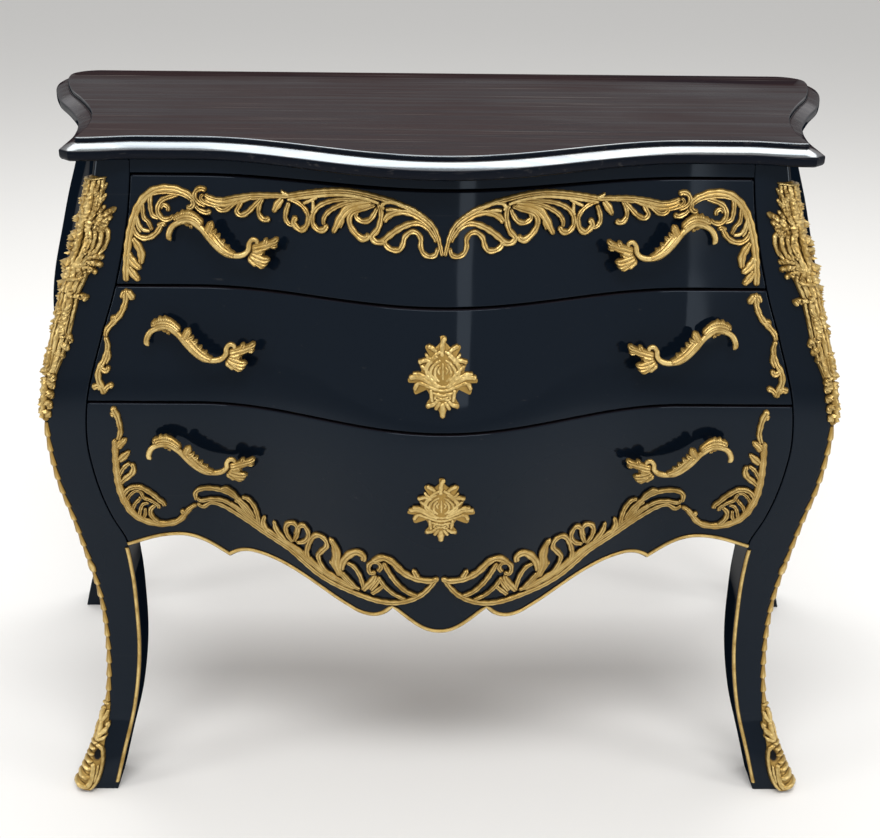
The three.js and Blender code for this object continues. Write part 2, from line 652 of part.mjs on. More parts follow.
const lowerSprayShares = [
  [[[0.002, 0.352], [0.04, 0.37], [0.09, 0.377], [0.14, 0.356], [0.2, 0.318], [0.27, 0.272], [0.34, 0.235],
    [0.4, 0.203], [0.46, 0.163], [0.52, 0.122], [0.6, 0.078], [0.68, 0.048], [0.76, 0.037], [0.83, 0.042],
    [0.9, 0.062], [0.95, 0.105], [0.975, 0.15], [0.993, 0.175]], [0.016, 0.036, 0.014]],
  [[[0.03, 0.372], [0.015, 0.4], [0.035, 0.432], [0.09, 0.442], [0.15, 0.415], [0.2, 0.35]],
    [0.018, 0.022, 0.03]],
  [[[0.11, 0.437], [0.14, 0.447], [0.175, 0.41], [0.21, 0.34]], [0.014, 0.02, 0.024]],
  [[[0.17, 0.392], [0.215, 0.418], [0.248, 0.38], [0.245, 0.31]], [0.018, 0.022, 0.024]],
  [[[0.292, 0.345], [0.282, 0.31], [0.27, 0.275]], [0.008, 0.026, 0.03]],
  [[[0.328, 0.328], [0.336, 0.285], [0.36, 0.24]], [0.012, 0.026, 0.03]],
  [[[0.39, 0.225], [0.373, 0.28], [0.395, 0.327], [0.415, 0.29]], [0.022, 0.02, 0.014]],
  [[[0.4, 0.235], [0.413, 0.28], [0.44, 0.325], [0.47, 0.29], [0.455, 0.245], [0.4, 0.225]],
    [0.016, 0.018, 0.016]],
  [[[0.492, 0.15], [0.482, 0.25], [0.51, 0.297], [0.545, 0.27], [0.525, 0.215], [0.542, 0.12]],
    [0.018, 0.022, 0.02]],
  [[[0.562, 0.295], [0.583, 0.25], [0.578, 0.18], [0.615, 0.09]], [0.012, 0.03, 0.026]],
  [[[0.605, 0.13], [0.625, 0.21], [0.665, 0.237], [0.695, 0.2]], [0.02, 0.026, 0.02]],
  [[[0.63, 0.19], [0.665, 0.178], [0.695, 0.13], [0.722, 0.05]], [0.022, 0.02, 0.02]],
  [[[0.725, 0.192], [0.77, 0.22], [0.825, 0.232], [0.85, 0.195], [0.89, 0.168], [0.93, 0.165], [0.978, 0.165]],
    [0.026, 0.024, 0.014]],
  [[[0.9, 0.168], [0.91, 0.212]], [0.026, 0.018, 0.01]],
  [[[0.765, 0.215], [0.785, 0.16], [0.83, 0.105], [0.9, 0.088], [0.955, 0.115]], [0.024, 0.02, 0.014]],
  [[[0.75, 0.19], [0.73, 0.15], [0.745, 0.11], [0.717, 0.045]], [0.018, 0.018, 0.024]],
];

const widthAlong = ([start, middle, end], t) =>
  start * (1 - t) * (1 - 2 * t) + middle * 4 * t * (1 - t) + end * t * (2 * t - 1);

// One stroke as a ridge with a flat foot: place(x, z, height) puts a point on the carrying surface.
function ridge([centre, widths], size, height, place) {
  const curve = new THREE.SplineCurve(centre.map(([x, z]) => new THREE.Vector2(x * size, z * size)));
  const count = Math.max(Math.round((centre.length - 1) * strokeDetailShare), 2);
  const rings = spread(0, 1, count).map((t) => {
    const p = curve.getPoint(t);
    const along = curve.getTangent(t);
    const half = (widthAlong(widths, t) * size) / 2;
    const [dx, dz] = [-along.y * half, along.x * half];
    const foot = [place(p.x + dx, p.y + dz, 0), place(p.x - dx, p.y - dz, 0)];
    return [...foot, place(p.x, p.y, height)];
  });
  return loft(rings);
}
function tracery(strokes, size, outer, bottom) {
  const place = (x, z, height) => {
    const [px, pz] = [x - outer, z + bottom];
    return point(px, frontY(px, pz) - seatGap - height, pz);
  };
  return mirrored(joined(strokes.map((stroke) => ridge(stroke, size, mountHeight, place))));
}

// Thin bead along the apron's edge
function apronBead() {
  const edge = apronEdge(3);
  const reach = beadInset + beadWidth / 2;
  const rings = edge.map((p, i) => {
    const before = edge[Math.max(i - 1, 0)];
    const after = edge[Math.min(i + 1, edge.length - 1)];
    const along = after.clone().sub(before).normalize();
    const up = new THREE.Vector2(-along.y, along.x);
    const centre = p.clone().addScaledVector(up, reach);
    const low = centre.clone().addScaledVector(up, -beadWidth / 2);
    const high = centre.clone().addScaledVector(up, beadWidth / 2);
    const on = (q, height) => point(q.x, frontY(q.x, q.y) - seatGap - height, q.y);
    return [on(low, 0), on(high, 0), on(centre, beadHeight)];
  });
  return loft(rings);
}
// Thin bead down the leg's inner edge
function legBead() {
  const legBeadTop = apronBottom + legBeadLift;
  const between = postLevels.filter((z) => z > legBeadBottom && z < legBeadTop);
  return loft(
    [legBeadBottom, ...between, legBeadTop].map((z) => {
      const x = innerX(z) + beadInset;
      const y = postFront(z) - seatGap;
      return [point(x, y, z), point(x + beadWidth, y, z), point(x + beadWidth / 2, y - beadHeight, z)];
    }),
  );
}

// A place on the post's rounded corner: distance round it from its middle, towards the front when positive
function onCorner(round, z, height) {
  const quarter = (cornerRadius * Math.PI) / 4;
  const [x, y] = [cornerX(z) - cornerRadius, postFront(z) + cornerRadius];
  const reach = cornerRadius + wrapGap + height;
  if (round > quarter) return point(x - (round - quarter), y - reach, z);
  if (round < -quarter) return point(x + reach, y - quarter - round, z);
  const angle = Math.PI / 4 + round / cornerRadius;
  return point(x + reach * Math.cos(angle), y - reach * Math.sin(angle), z);
}
// What wraps the corner is cut to the post, with a small gap.
function fittedToPost(geometry) {
  const carrier = frontPost().translate(wrapGap, -wrapGap, 0);
  return geometryOf(solidOf(geometry).subtract(solidOf(carrier)));
}
// A mount on the corner: rings of a crowned section, by rows of shares of its run, its width and its height
function cornerLoft(rows, from, to, width, height) {
  return loft(
    rows.map(([run, widthShare, heightShare]) => {
      const z = THREE.MathUtils.lerp(from, to, run);
      const half = (width * widthShare) / 2;
      const archShares = [[-1, 0], [-0.6, 0.75], [0, 1], [0.6, 0.75], [1, 0]];
      const back = [onCorner(half, z, -wrapSink), onCorner(-half, z, -wrapSink)];
      return [...archShares.map(([a, h]) => onCorner(a * half, z, h * height * heightShare)), ...back];
    }),
  );
}
const cornerMountShares = [
  [0, 0.4, 0.6], [0.057, 0.63, 0.9], [0.14, 0.65, 0.85], [0.22, 0.87, 1], [0.3, 1, 1], [0.355, 1, 1],
  [0.395, 0.78, 0.95], [0.45, 0.6, 0.9], [0.535, 0.58, 0.85], [0.6, 0.44, 0.8], [0.65, 0.56, 0.95],
  [0.7, 0.54, 0.9], [0.74, 0.46, 0.85], [0.78, 0.36, 0.85], [0.83, 0.27, 0.9], [0.9, 0.25, 0.8],
  [0.96, 0.26, 0.8], [1, 0.15, 0.5],
];
// Strokes on the corner mount by shares of its length, x round the corner towards the front and z downwards:
// sprigs that stand out beside it, and the leaves that stand up from it
const cornerSprigShares = [
  [[[0.01, 0.135], [0.06, 0.13], [0.12, 0.118]], [0.045, 0.03, 0.035]],
  [[[0.04, 0.33], [0.09, 0.345], [0.135, 0.39]], [0.07, 0.05, 0.03]],
  [[[0.01, 0.475], [0.06, 0.475], [0.1, 0.47]], [0.05, 0.035, 0.045]],
  [[[-0.01, 0.24], [-0.06, 0.235], [-0.1, 0.225]], [0.07, 0.06, 0.045]],
  [[[-0.01, 0.345], [-0.06, 0.345], [-0.1, 0.335]], [0.07, 0.05, 0.045]],
];
const cornerLeafShares = [
  [[[0.005, 0.2], [0.02, 0.12], [0.035, 0.03]], [0.05, 0.06, 0.02]],
  [[[0.01, 0.36], [0.07, 0.29], [0.075, 0.19]], [0.03, 0.055, 0.02]],
  [[[-0.02, 0.36], [-0.01, 0.28], [0, 0.2]], [0.04, 0.06, 0.02]],
  [[[0.005, 0.58], [0.025, 0.5], [0.03, 0.4]], [0.04, 0.055, 0.02]],
  [[[0.005, 0.78], [0.02, 0.7], [0.02, 0.61]], [0.03, 0.055, 0.02]],
];
const sabotShares = [
  [0, 0.6, 0.55], [0.05, 0.85, 0.85], [0.15, 1, 1], [0.3, 0.95, 0.8], [0.42, 0.75, 0.5], [0.55, 0.55, 0.33],
  [0.66, 0.55, 0.36], [0.76, 0.38, 0.26], [0.88, 0.3, 0.24], [1, 0.25, 0.2],
];
function cornerMount() {
  const place = (x, z, height) => onCorner(x, cornerMountTop - z, height);
  const strokes = (rows, height) => rows.map((stroke) => ridge(stroke, cornerMountLength, height, place));
  const [from, to] = [cornerMountTop, cornerMountBottom];
  const core = cornerLoft(cornerMountShares, from, to, cornerMountWidth, cornerMountHeight);
  const sprigs = strokes(cornerSprigShares, cornerSprigHeight);
  const leaves = strokes(cornerLeafShares, cornerLeafHeight);
  return fittedToPost(joined([core, ...sprigs, ...leaves]));
}
function edgeStrip() {
  const top = cornerMountBottom - jointClearance;
  const leaves = Math.round((top - sabotTop) / edgeStripPitch);
  const narrowShare = 0.6;
  const rows = spread(0, 1, leaves * 2).map((run, i) => [run, i % 2 ? 1 : narrowShare]);
  return loft(
    rows.map(([run, share]) => {
      const z = THREE.MathUtils.lerp(top, sabotTop, run);
      const half = (edgeStripWidth * share) / 2;
      const rise = edgeStripHeight + stripLift;
      return [
        onCorner(-half, z, stripLift),
        onCorner(0, z, rise),
        onCorner(half, z, stripLift),
        onCorner(0, z, stripLift),
      ];
    }),
  );
}
function sabot() {
  const top = sabotTop - jointClearance;
  return fittedToPost(cornerLoft(sabotShares, sabotBottom, top, sabotWidth, sabotHeight));
}

// Escutcheon: the right half of its outline, by shares of its height, with a low dome inside
const escutcheonShares = [
  [0, 1], [0.035, 0.97], [0.025, 0.9], [0.093, 0.854], [0.2, 0.886], [0.215, 0.84], [0.14, 0.785],
  [0.205, 0.675], [0.28, 0.66], [0.265, 0.58], [0.3, 0.52], [0.43, 0.485], [0.44, 0.44], [0.355, 0.425],
  [0.366, 0.31], [0.335, 0.285], [0.3, 0.37], [0.19, 0.325], [0.17, 0.2], [0.21, 0.145], [0.165, 0.118],
  [0.08, 0.16], [0.03, 0.06], [0, 0],
];
function escutcheon(bottom, front) {
  const left = escutcheonShares.slice(1, -1).reverse().map(([x, z]) => [-x, z]);
  const outline = [...escutcheonShares, ...left];
  const middle = 0.5;
  const ring = (scale, height) =>
    outline.map(([x, z]) => {
      const px = x * scale * escutcheonHeight;
      const pz = bottom + (middle + (z - middle) * scale) * escutcheonHeight;
      return point(px, frontY(px, pz) - seatGap - height, pz);
    });
  const domeScale = 0.5;
  const tipScale = 0.06;
  const rings = [
    ring(1, -escutcheonSink),
    ring(1, escutcheonEdge),
    ring(domeScale, escutcheonDome),
    ring(tipScale, escutcheonDome),
  ];
  const body = loft(rings, uprightCap);
  const carrier = front.clone().translate(0, -seatGap, 0);
  return geometryOf(solidOf(body).subtract(solidOf(carrier)));
}

// Handle: an S-shaped stem on two feet, with a leafy crest, a leaf on the slope and a leaf spray at one end
const handleStemShares = [
  [0.032, 0.22, 0.8], [0.05, 0.31, 0.75], [0.11, 0.365, 0.8], [0.2, 0.38, 1], [0.29, 0.335, 1.1],
  [0.38, 0.25, 1.15], [0.47, 0.158, 1.1], [0.56, 0.105, 1], [0.65, 0.09, 0.95], [0.72, 0.12, 0.95],
  [0.76, 0.2, 1.1],
];
const handleCrestShares = [
  [0.067, 0.38], [0.075, 0.45], [0.146, 0.49], [0.225, 0.486], [0.304, 0.44], [0.32, 0.36], [0.2, 0.37],
];
const handleSlopeLeafShares = [
  [0.34, 0.3], [0.407, 0.379], [0.435, 0.34], [0.494, 0.253], [0.57, 0.14], [0.44, 0.18],
];
const handleSprayShares = [
  [0.74, 0.1], [0.76, 0.2], [0.842, 0.2], [0.87, 0.245], [0.996, 0.249], [0.968, 0.162], [0.874, 0.158],
  [0.866, 0.11], [0.921, 0.05], [0.87, 0], [0.78, 0.015],
];
const handleFootPlaces = [[0.2, 0.4], [0.82, 0.12]];
function handle(outer, bottom) {
  const place = (x, z) => [x * handleLength - outer, z * handleLength + bottom];
  const standoff = (x) => handleStandoff + (handleReach - handleStandoff) * Math.sin(Math.PI * x) ** 2;
  const onStem = (x, z) => {
    const [px, pz] = place(x, z);
    return point(px, frontY(px, pz) - standoff(x), pz);
  };
  const stem = new THREE.CatmullRomCurve3(handleStemShares.map(([x, z]) => onStem(x, z)));
  const [sides, steps] = [5, 10];
  const lastPlace = handleStemShares.length - 1;
  const thickness = smoothThrough(handleStemShares.map(([, , share], i) => [i / lastPlace, share]));
  const frames = stem.computeFrenetFrames(steps, false);
  const rings = spread(0, 1, steps).map((t, i) => {
    const centre = stem.getPoint(t);
    const radius = handleRadius * thickness(t);
    return spread(0, 2 * Math.PI, sides)
      .slice(0, sides)
      .map((angle) =>
        centre
          .clone()
          .addScaledVector(frames.normals[i], radius * Math.cos(angle))
          .addScaledVector(frames.binormals[i], radius * Math.sin(angle)),
      );
  });
  const leaf = (shares) => {
    const ring = (forward) => shares.map(([x, z]) => onStem(x, z).add(point(0, forward, 0)));
    return loft([ring(handleLeafThickness / 2), ring(-handleLeafThickness / 2)], uprightCap);
  };
  const foot = ([x, z]) => {
    const top = onStem(x, z);
    const seat = frontY(top.x, top.z) - seatGap;
    const turns = spread(0, 2 * Math.PI, 4).slice(1);
    const ring = (y) =>
      turns.map((a) => {
        const pz = top.z + handleFootRadius * Math.sin(a);
        const px = top.x + handleFootRadius * Math.cos(a);
        const slope = y === seat ? frontY(px, pz) - frontY(top.x, top.z) : 0;
        return point(px, y + slope, pz);
      });
    return loft([ring(seat), ring(top.y)]);
  };
  const leaves = [handleCrestShares, handleSlopeLeafShares, handleSprayShares].map(leaf);
  return mirrored(joined([loft(rings), ...leaves, ...handleFootPlaces.map(foot)]));
}

// Assembly
const chest = new THREE.Group();
piece(chest, "top", topBoard(), lacquer);
piece(chest, "front_top_rail", topRail(), lacquer);
pair(chest, "front_leg", frontPost(), lacquer);
pair(chest, "back_leg", backPost(), lacquer);
pair(chest, "side_panel", sidePanel(), lacquer);
piece(chest, "back_panel", backPanel(), backWood);
piece(chest, "bottom_board", floorBoard(), backWood);
piece(chest, "upper_divider_rail", dividerRail(drawerOneBottom), lacquer);
piece(chest, "lower_divider_rail", dividerRail(drawerTwoBottom), lacquer);
pair(chest, "corner_mount", cornerMount(), gilt);
pair(chest, "edge_strip", edgeStrip(), gilt);
pair(chest, "sabot", sabot(), gilt);
pair(chest, "leg_bead", legBead(), gilt);
pair(chest, "drawer_1_runner", runner(boxOneBottom, boxOneHeight), drawerWood);
pair(chest, "drawer_2_runner", runner(boxTwoBottom, boxTwoHeight), drawerWood);
pair(chest, "drawer_3_runner", runner(boxThreeBottom, boxThreeHeight), drawerWood);

const rows = 4;
const frontOne = drawerFront(() => drawerOneBottom, drawerOneTop, frontStationShares, rows);
const scrollOne = tracery(
  cornerScrollShares, cornerScrollSize, cornerScrollOuter, drawerOneBottom + cornerScrollLift,
);
const sprayOne = tracery(sprayShares, spraySize, spraySize, drawerOneBottom + sprayLift);
const drawerOne = new THREE.Group();
piece(drawerOne, "drawer_1_front", frontOne, lacquer);
drawerBox(drawerOne, "drawer_1", boxOneBottom, boxOneHeight);
pair(drawerOne, "drawer_1_handle", handle(handleOneOuter, drawerOneBottom + handleOneLift), gilt);
pair(drawerOne, "drawer_1_corner_scroll", scrollOne, gilt);
pair(drawerOne, "drawer_1_leaf_spray", sprayOne, gilt);

const frontTwo = drawerFront(() => drawerTwoBottom, drawerTwoTop, frontStationShares, rows);
const edgeLeaf = tracery(edgeLeafShares, edgeLeafSize, edgeLeafOuter, drawerTwoBottom + edgeLeafLift);
const drawerTwo = new THREE.Group();
piece(drawerTwo, "drawer_2_front", frontTwo, lacquer);
drawerBox(drawerTwo, "drawer_2", boxTwoBottom, boxTwoHeight);
pair(drawerTwo, "drawer_2_handle", handle(handleTwoOuter, drawerTwoBottom + handleTwoLift), gilt);
pair(drawerTwo, "drawer_2_edge_leaf", edgeLeaf, gilt);
piece(drawerTwo, "drawer_2_escutcheon", escutcheon(drawerTwoBottom + escutcheonTwoLift, frontTwo), gilt);

const frontThree = apronDrawerFront(drawerThreeTop);
const scrollThree = tracery(
  lowerScrollShares, lowerScrollSize, lowerScrollOuter, apronBottom + lowerScrollLift,
);
const sprayThree = tracery(lowerSprayShares, lowerSpraySize, lowerSpraySize, apronBottom + lowerSprayLift);
const drawerThree = new THREE.Group();
piece(drawerThree, "drawer_3_front", frontThree, lacquer);
drawerBox(drawerThree, "drawer_3", boxThreeBottom, boxThreeHeight);
pair(drawerThree, "drawer_3_handle", handle(handleThreeOuter, apronBottom + handleThreeLift), gilt);
pair(drawerThree, "drawer_3_corner_scroll", scrollThree, gilt);
pair(drawerThree, "drawer_3_leaf_spray", sprayThree, gilt);
piece(drawerThree, "drawer_3_escutcheon", escutcheon(apronBottom + escutcheonThreeLift, frontThree), gilt);
piece(drawerThree, "drawer_3_apron_bead", apronBead(), gilt);
chest.add(drawerOne, drawerTwo, drawerThree);

const extent = new THREE.Box3().setFromObject(chest);
chest.position.y = -(extent.min.y + extent.max.y) / 2;

export default chest;
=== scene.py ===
# A bombe commode chest in black lacquer with gilt mounts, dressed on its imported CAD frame.
# Profiles are worked out in millimetres, with y = 0 on the line through the top's front corners,
# and go to metres in the frame's own axes where a mesh is made.
import math
import bpy
import numpy as np
from mathutils import Matrix, Vector


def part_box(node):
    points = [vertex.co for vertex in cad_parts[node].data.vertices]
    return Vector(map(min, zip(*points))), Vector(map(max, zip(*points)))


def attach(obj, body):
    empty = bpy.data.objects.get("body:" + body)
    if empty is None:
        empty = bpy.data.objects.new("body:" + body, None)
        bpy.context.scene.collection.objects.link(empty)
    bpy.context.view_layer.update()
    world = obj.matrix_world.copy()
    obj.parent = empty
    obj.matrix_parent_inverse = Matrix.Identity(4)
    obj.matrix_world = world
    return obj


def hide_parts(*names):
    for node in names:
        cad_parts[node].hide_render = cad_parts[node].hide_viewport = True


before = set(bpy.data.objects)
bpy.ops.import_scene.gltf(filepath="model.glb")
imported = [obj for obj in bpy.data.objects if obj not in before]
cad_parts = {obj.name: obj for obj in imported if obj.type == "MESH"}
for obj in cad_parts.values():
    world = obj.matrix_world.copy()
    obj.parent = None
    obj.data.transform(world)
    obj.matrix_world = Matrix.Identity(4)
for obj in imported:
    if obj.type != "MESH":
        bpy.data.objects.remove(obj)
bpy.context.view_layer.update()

metre = 0.001
chest = {
    "topDepth": 460, "top": 850, "topThickness": 24,
    "neckHalfWidth": 396, "bulge": 63, "neckSetback": 7,
    "postWidth": 41, "postDepth": 50, "cornerRadius": 9,
    "backPostWidth": 45, "backPostFront": 400, "backPostBack": 445,
    "sideFlare": 106, "bowDepth": 88, "bowHalfWidth": 285, "frontThickness": 22,
}
caseHeight = chest["top"] - chest["topThickness"]
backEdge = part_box("top")[1].y
yShift = backEdge - chest["topDepth"] * metre


# Cubic Hermite curve through rows of (place, value), each slope taken from the two neighbours
def smoothThrough(rows):
    places, values = np.array(rows, float).T
    before = np.maximum(np.arange(len(places)) - 1, 0)
    after = np.minimum(np.arange(len(places)) + 1, len(places) - 1)
    slopes = (values[after] - values[before]) / (places[after] - places[before])

    def curve(place):
        place = np.asarray(place, float)
        i = np.clip(np.searchsorted(places, place, side="left") - 1, 0, len(places) - 2)
        span = places[i + 1] - places[i]
        t = np.clip((place - places[i]) / span, 0, 1)
        a, b, pa, pb = values[i], values[i + 1], slopes[i] * span, slopes[i + 1] * span
        return a + pa * t + (3 * (b - a) - 2 * pa - pb) * t ** 2 + (2 * (a - b) + pa + pb) * t ** 3
    return curve


# By share of height: how far the corner goes out, how far it comes forward, the post's inner edge and the
# depth of the bow. By share of depth: the side's flare.
cornerShare = smoothThrough([
    (0, 1.12), (0.05, 0.95), (0.09, 0.79), (0.13, 0.66), (0.17, 0.59), (0.21, 0.553), (0.26, 0.54),
    (0.31, 0.56), (0.36, 0.63), (0.42, 0.76), (0.48, 0.89), (0.535, 1.03), (0.59, 1.097), (0.645, 1.105),
    (0.7, 0.99), (0.77, 0.745), (0.835, 0.51), (0.91, 0.21), (1, 0)])
forwardShare = smoothThrough([
    (0, 1.1), (0.06, 0.84), (0.12, 0.57), (0.22, 0.41), (0.32, 0.445), (0.425, 0.62),
    (0.52, 0.84), (0.63, 1), (0.725, 0.84), (0.835, 0.51), (0.91, 0.21), (1, 0)])
innerShare = smoothThrough([
    (0, 1.06), (0.056, 0.88), (0.134, 0.63), (0.223, 0.476), (0.32, 0.437), (0.376, 0.444),
    (0.43, 0.51), (0.477, 0.74), (0.525, 0.9), (0.575, 0.99), (0.615, 1.01), (0.672, 0.94),
    (0.712, 0.81), (0.775, 0.556), (0.83, 0.333), (0.902, 0.127), (0.977, 0.008), (1, 0)])
bowShare = smoothThrough([(0, 0.97), (0.33, 0.97), (0.668, 1), (0.83, 0.865), (1, 0.75)])
flareShare = smoothThrough([
    (-0.3, 0), (0, 0), (0.13, 0), (0.2, 0.03), (0.26, 0.07), (0.35, 0.16),
    (0.44, 0.3), (0.53, 0.46), (0.65, 0.69), (0.83, 0.92), (0.93, 0.98), (1.05, 1)])


# Where the post's outer corner, inner edge and face lie at a height
def cornerX(z):
    return chest["neckHalfWidth"] + chest["bulge"] * cornerShare(z / caseHeight)


def innerX(z):
    return chest["neckHalfWidth"] - chest["postWidth"] + chest["bulge"] * innerShare(z / caseHeight)


def postFront(z):
    return chest["neckSetback"] - chest["bulge"] * forwardShare(z / caseHeight)


# Squared cosine, 1 in the middle and 0 past the bow's half-width
def bell(x):
    inside = np.clip(np.abs(x) / chest["bowHalfWidth"], 0, 1)
    return np.cos(np.pi / 2 * inside) ** 2


# The front: the post's face, brought forward by the bell times the bow's depth at that height
def frontY(x, z):
    return postFront(z) - chest["bowDepth"] * bowShare(z / caseHeight) * bell(x)


# How far the side has flared out at a depth
def flare(y):
    return chest["sideFlare"] * flareShare(y / chest["topDepth"])


def sideX(y, z):
    return cornerX(z) + flare(y)


# Millimetres to metres, and the corner line to its place in the frame
def toFrame(points):
    moved = points * metre
    moved[..., 1] += yShift
    return moved


# Mesh from a grid of points, joined round its second direction when wrapped, with flat ends when capped
def gridFaces(rows, columns, wrapped, capped, start=0):
    r, c = np.meshgrid(np.arange(rows - 1), np.arange(columns if wrapped else columns - 1), indexing="ij")
    nextC = (c + 1) % columns
    row, above = r * columns, (r + 1) * columns
    quads = np.stack([row + c, row + nextC, above + nextC, above + c], -1)
    faces = (quads.reshape(-1, 4) + start).tolist()
    if capped:
        faces.append((np.arange(columns)[::-1] + start).tolist())
        faces.append((np.arange(columns) + (rows - 1) * columns + start).tolist())
    return faces


facesRead = 4000


# Whether the faces look inwards: the sign of the volume, by summing the tetrahedra from the middle to the
# triangles of the first faces
def facesInward(points, faces):
    fans = [(f[0], f[i], f[i + 1]) for f in faces[:facesRead] for i in range(1, len(f) - 1)]
    a, b, c = (points[np.array(fans)[:, k]] for k in range(3))
    middle = points.mean(0)
    return np.einsum("ij,ij->i", a - middle, np.cross(b - middle, c - middle)).sum() < 0


# Takes its points in millimetres, as a grid or a list, and turns the faces outwards
def makeMesh(name, points, faces, material, attributes=None, sharpAngle=40):
    points = toFrame(points.reshape(-1, 3))
    if facesInward(points, faces):
        faces = [f[::-1] for f in faces]
    mesh = bpy.data.meshes.new(name)
    mesh.from_pydata(points, [], faces)
    for key, values in (attributes or {}).items():
        mesh.attributes.new(key, "FLOAT", "POINT").data.foreach_set("value", np.asarray(values, np.float32))
    mesh.materials.append(material)
    mesh.shade_smooth()
    mesh.set_sharp_from_angle(angle=math.radians(sharpAngle))
    mesh.update()
    piece = bpy.data.objects.new(name, mesh)
    bpy.context.scene.collection.objects.link(piece)
    return piece


def softenEdges(piece, width):
    bevel = piece.modifiers.new("softEdges", "BEVEL")
    bevel.width = width * metre
    bevel.segments = 2
    bevel.limit_method = "ANGLE"
    bevel.angle_limit = math.radians(40)
    return piece


# Each new piece moves with its body and stands in for its CAD node
def seat(piece, body, slot, *nodes):
    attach(piece, body)
    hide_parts(*nodes)
    return piece


# Closed board from a grid of outer points and the same grid moved through its thickness
def boardFrom(name, outer, inner, material, bevel=0.7):
    ring = np.concatenate([outer, inner[:, ::-1]], 1)
    rows, columns = ring.shape[:2]
    faces = gridFaces(rows, columns, True, False)
    half = outer.shape[1]
    k = np.arange(half - 1)
    strip = np.stack([k, k + 1, columns - 2 - k, columns - 1 - k], -1)
    faces += strip[:, ::-1].tolist() + (strip + (rows - 1) * columns).tolist()
    return softenEdges(makeMesh(name, ring, faces, material), bevel)


# Angles once round, each only once
def fullTurn(steps):
    return np.linspace(0, 2 * np.pi, steps, endpoint=False)


# The same points on the other side of the chest
def mirror(points):
    return points * np.array([-1, 1, 1])


print("materials")


def newGroup(name, inputs, outputs):
    group = bpy.data.node_groups.new(name, "ShaderNodeTree")
    for label, kind, default in inputs:
        group.interface.new_socket(label, in_out="INPUT", socket_type=kind).default_value = default
    for label, kind in outputs:
        group.interface.new_socket(label, in_out="OUTPUT", socket_type=kind)
    return group, group.nodes.new("NodeGroupInput"), group.nodes.new("NodeGroupOutput")


def addNode(tree, kind, values=None, **settings):
    node = tree.nodes.new(kind)
    for key, value in settings.items():
        setattr(node, key, value)
    for key, value in (values or {}).items():
        node.inputs[key].default_value = value
    return node


# A socket takes either a link or a plain value
def feed(tree, socket, value):
    if hasattr(value, "is_output"):
        tree.links.new(value, socket)
    else:
        socket.default_value = value


def addMath(tree, operation, a, b, clamp=False):
    node = addNode(tree, "ShaderNodeMath", operation=operation, use_clamp=clamp)
    for socket, value in zip(node.inputs, (a, b)):
        feed(tree, socket, value)
    return node.outputs[0]


def addRange(tree, value, low, high, outLow=0.0, outHigh=1.0):
    limits = {"From Min": low, "From Max": high, "To Min": outLow, "To Max": outHigh}
    node = addNode(tree, "ShaderNodeMapRange", limits)
    tree.links.new(value, node.inputs["Value"])
    return node.outputs["Result"]


def addMix(tree, factor, a, b):
    node = addNode(tree, "ShaderNodeMix", data_type="RGBA")
    for key, value in (("Factor", factor), ("A", a), ("B", b)):
        feed(tree, node.inputs[key], value)
    return node.outputs["Result"]


# Noise read at a place
def addNoise(tree, place, values):
    noise = addNode(tree, "ShaderNodeTexNoise", values)
    tree.links.new(place, noise.inputs["Vector"])
    return noise.outputs["Fac"]


# The object's own coordinates, stretched by a vector
def stretchedPlace(tree, stretch):
    product = addNode(tree, "ShaderNodeVectorMath", operation="MULTIPLY")
    tree.links.new(addNode(tree, "ShaderNodeTexCoord").outputs["Object"], product.inputs[0])
    tree.links.new(stretch, product.inputs[1])
    return product.outputs["Vector"]


# Specks of dust: small cells of a Voronoi pattern, kept where a coarse noise lets them gather
dustGroup, dustIn, dustOut = newGroup(
    "dustSpecks", [("Scale", "NodeSocketFloat", 700.0), ("Amount", "NodeSocketFloat", 0.5)],
    [("Mask", "NodeSocketFloat")])
place = addNode(dustGroup, "ShaderNodeTexCoord").outputs["Object"]
cells = addNode(dustGroup, "ShaderNodeTexVoronoi")
dustGroup.links.new(place, cells.inputs["Vector"])
dustGroup.links.new(dustIn.outputs["Scale"], cells.inputs["Scale"])
speck = addRange(dustGroup, cells.outputs["Distance"], 0.16, 0.08)
gathered = addRange(dustGroup, addNoise(dustGroup, place, {"Scale": 7.0, "Detail": 4.0}), 0.45, 0.7)
crowd = addMath(dustGroup, "MULTIPLY", gathered, dustIn.outputs["Amount"])
dustGroup.links.new(addMath(dustGroup, "MULTIPLY", speck, crowd, True), dustOut.inputs["Mask"])

# Fine scratches: noise stretched along one axis, of which only the crests are kept
scratchGroup, scratchIn, scratchOut = newGroup(
    "fineScratches",
    [("Stretch", "NodeSocketVector", (3.0, 260.0, 260.0)), ("Keep", "NodeSocketFloat", 0.62)],
    [("Mask", "NodeSocketFloat")])
along = stretchedPlace(scratchGroup, scratchIn.outputs["Stretch"])
hairs = addNoise(scratchGroup, along, {"Scale": 1.0, "Detail": 3.0, "Roughness": 0.6})
over = addMath(scratchGroup, "SUBTRACT", hairs, scratchIn.outputs["Keep"])
scratchGroup.links.new(addMath(scratchGroup, "MULTIPLY", over, 9.0, True), scratchOut.inputs["Mask"])

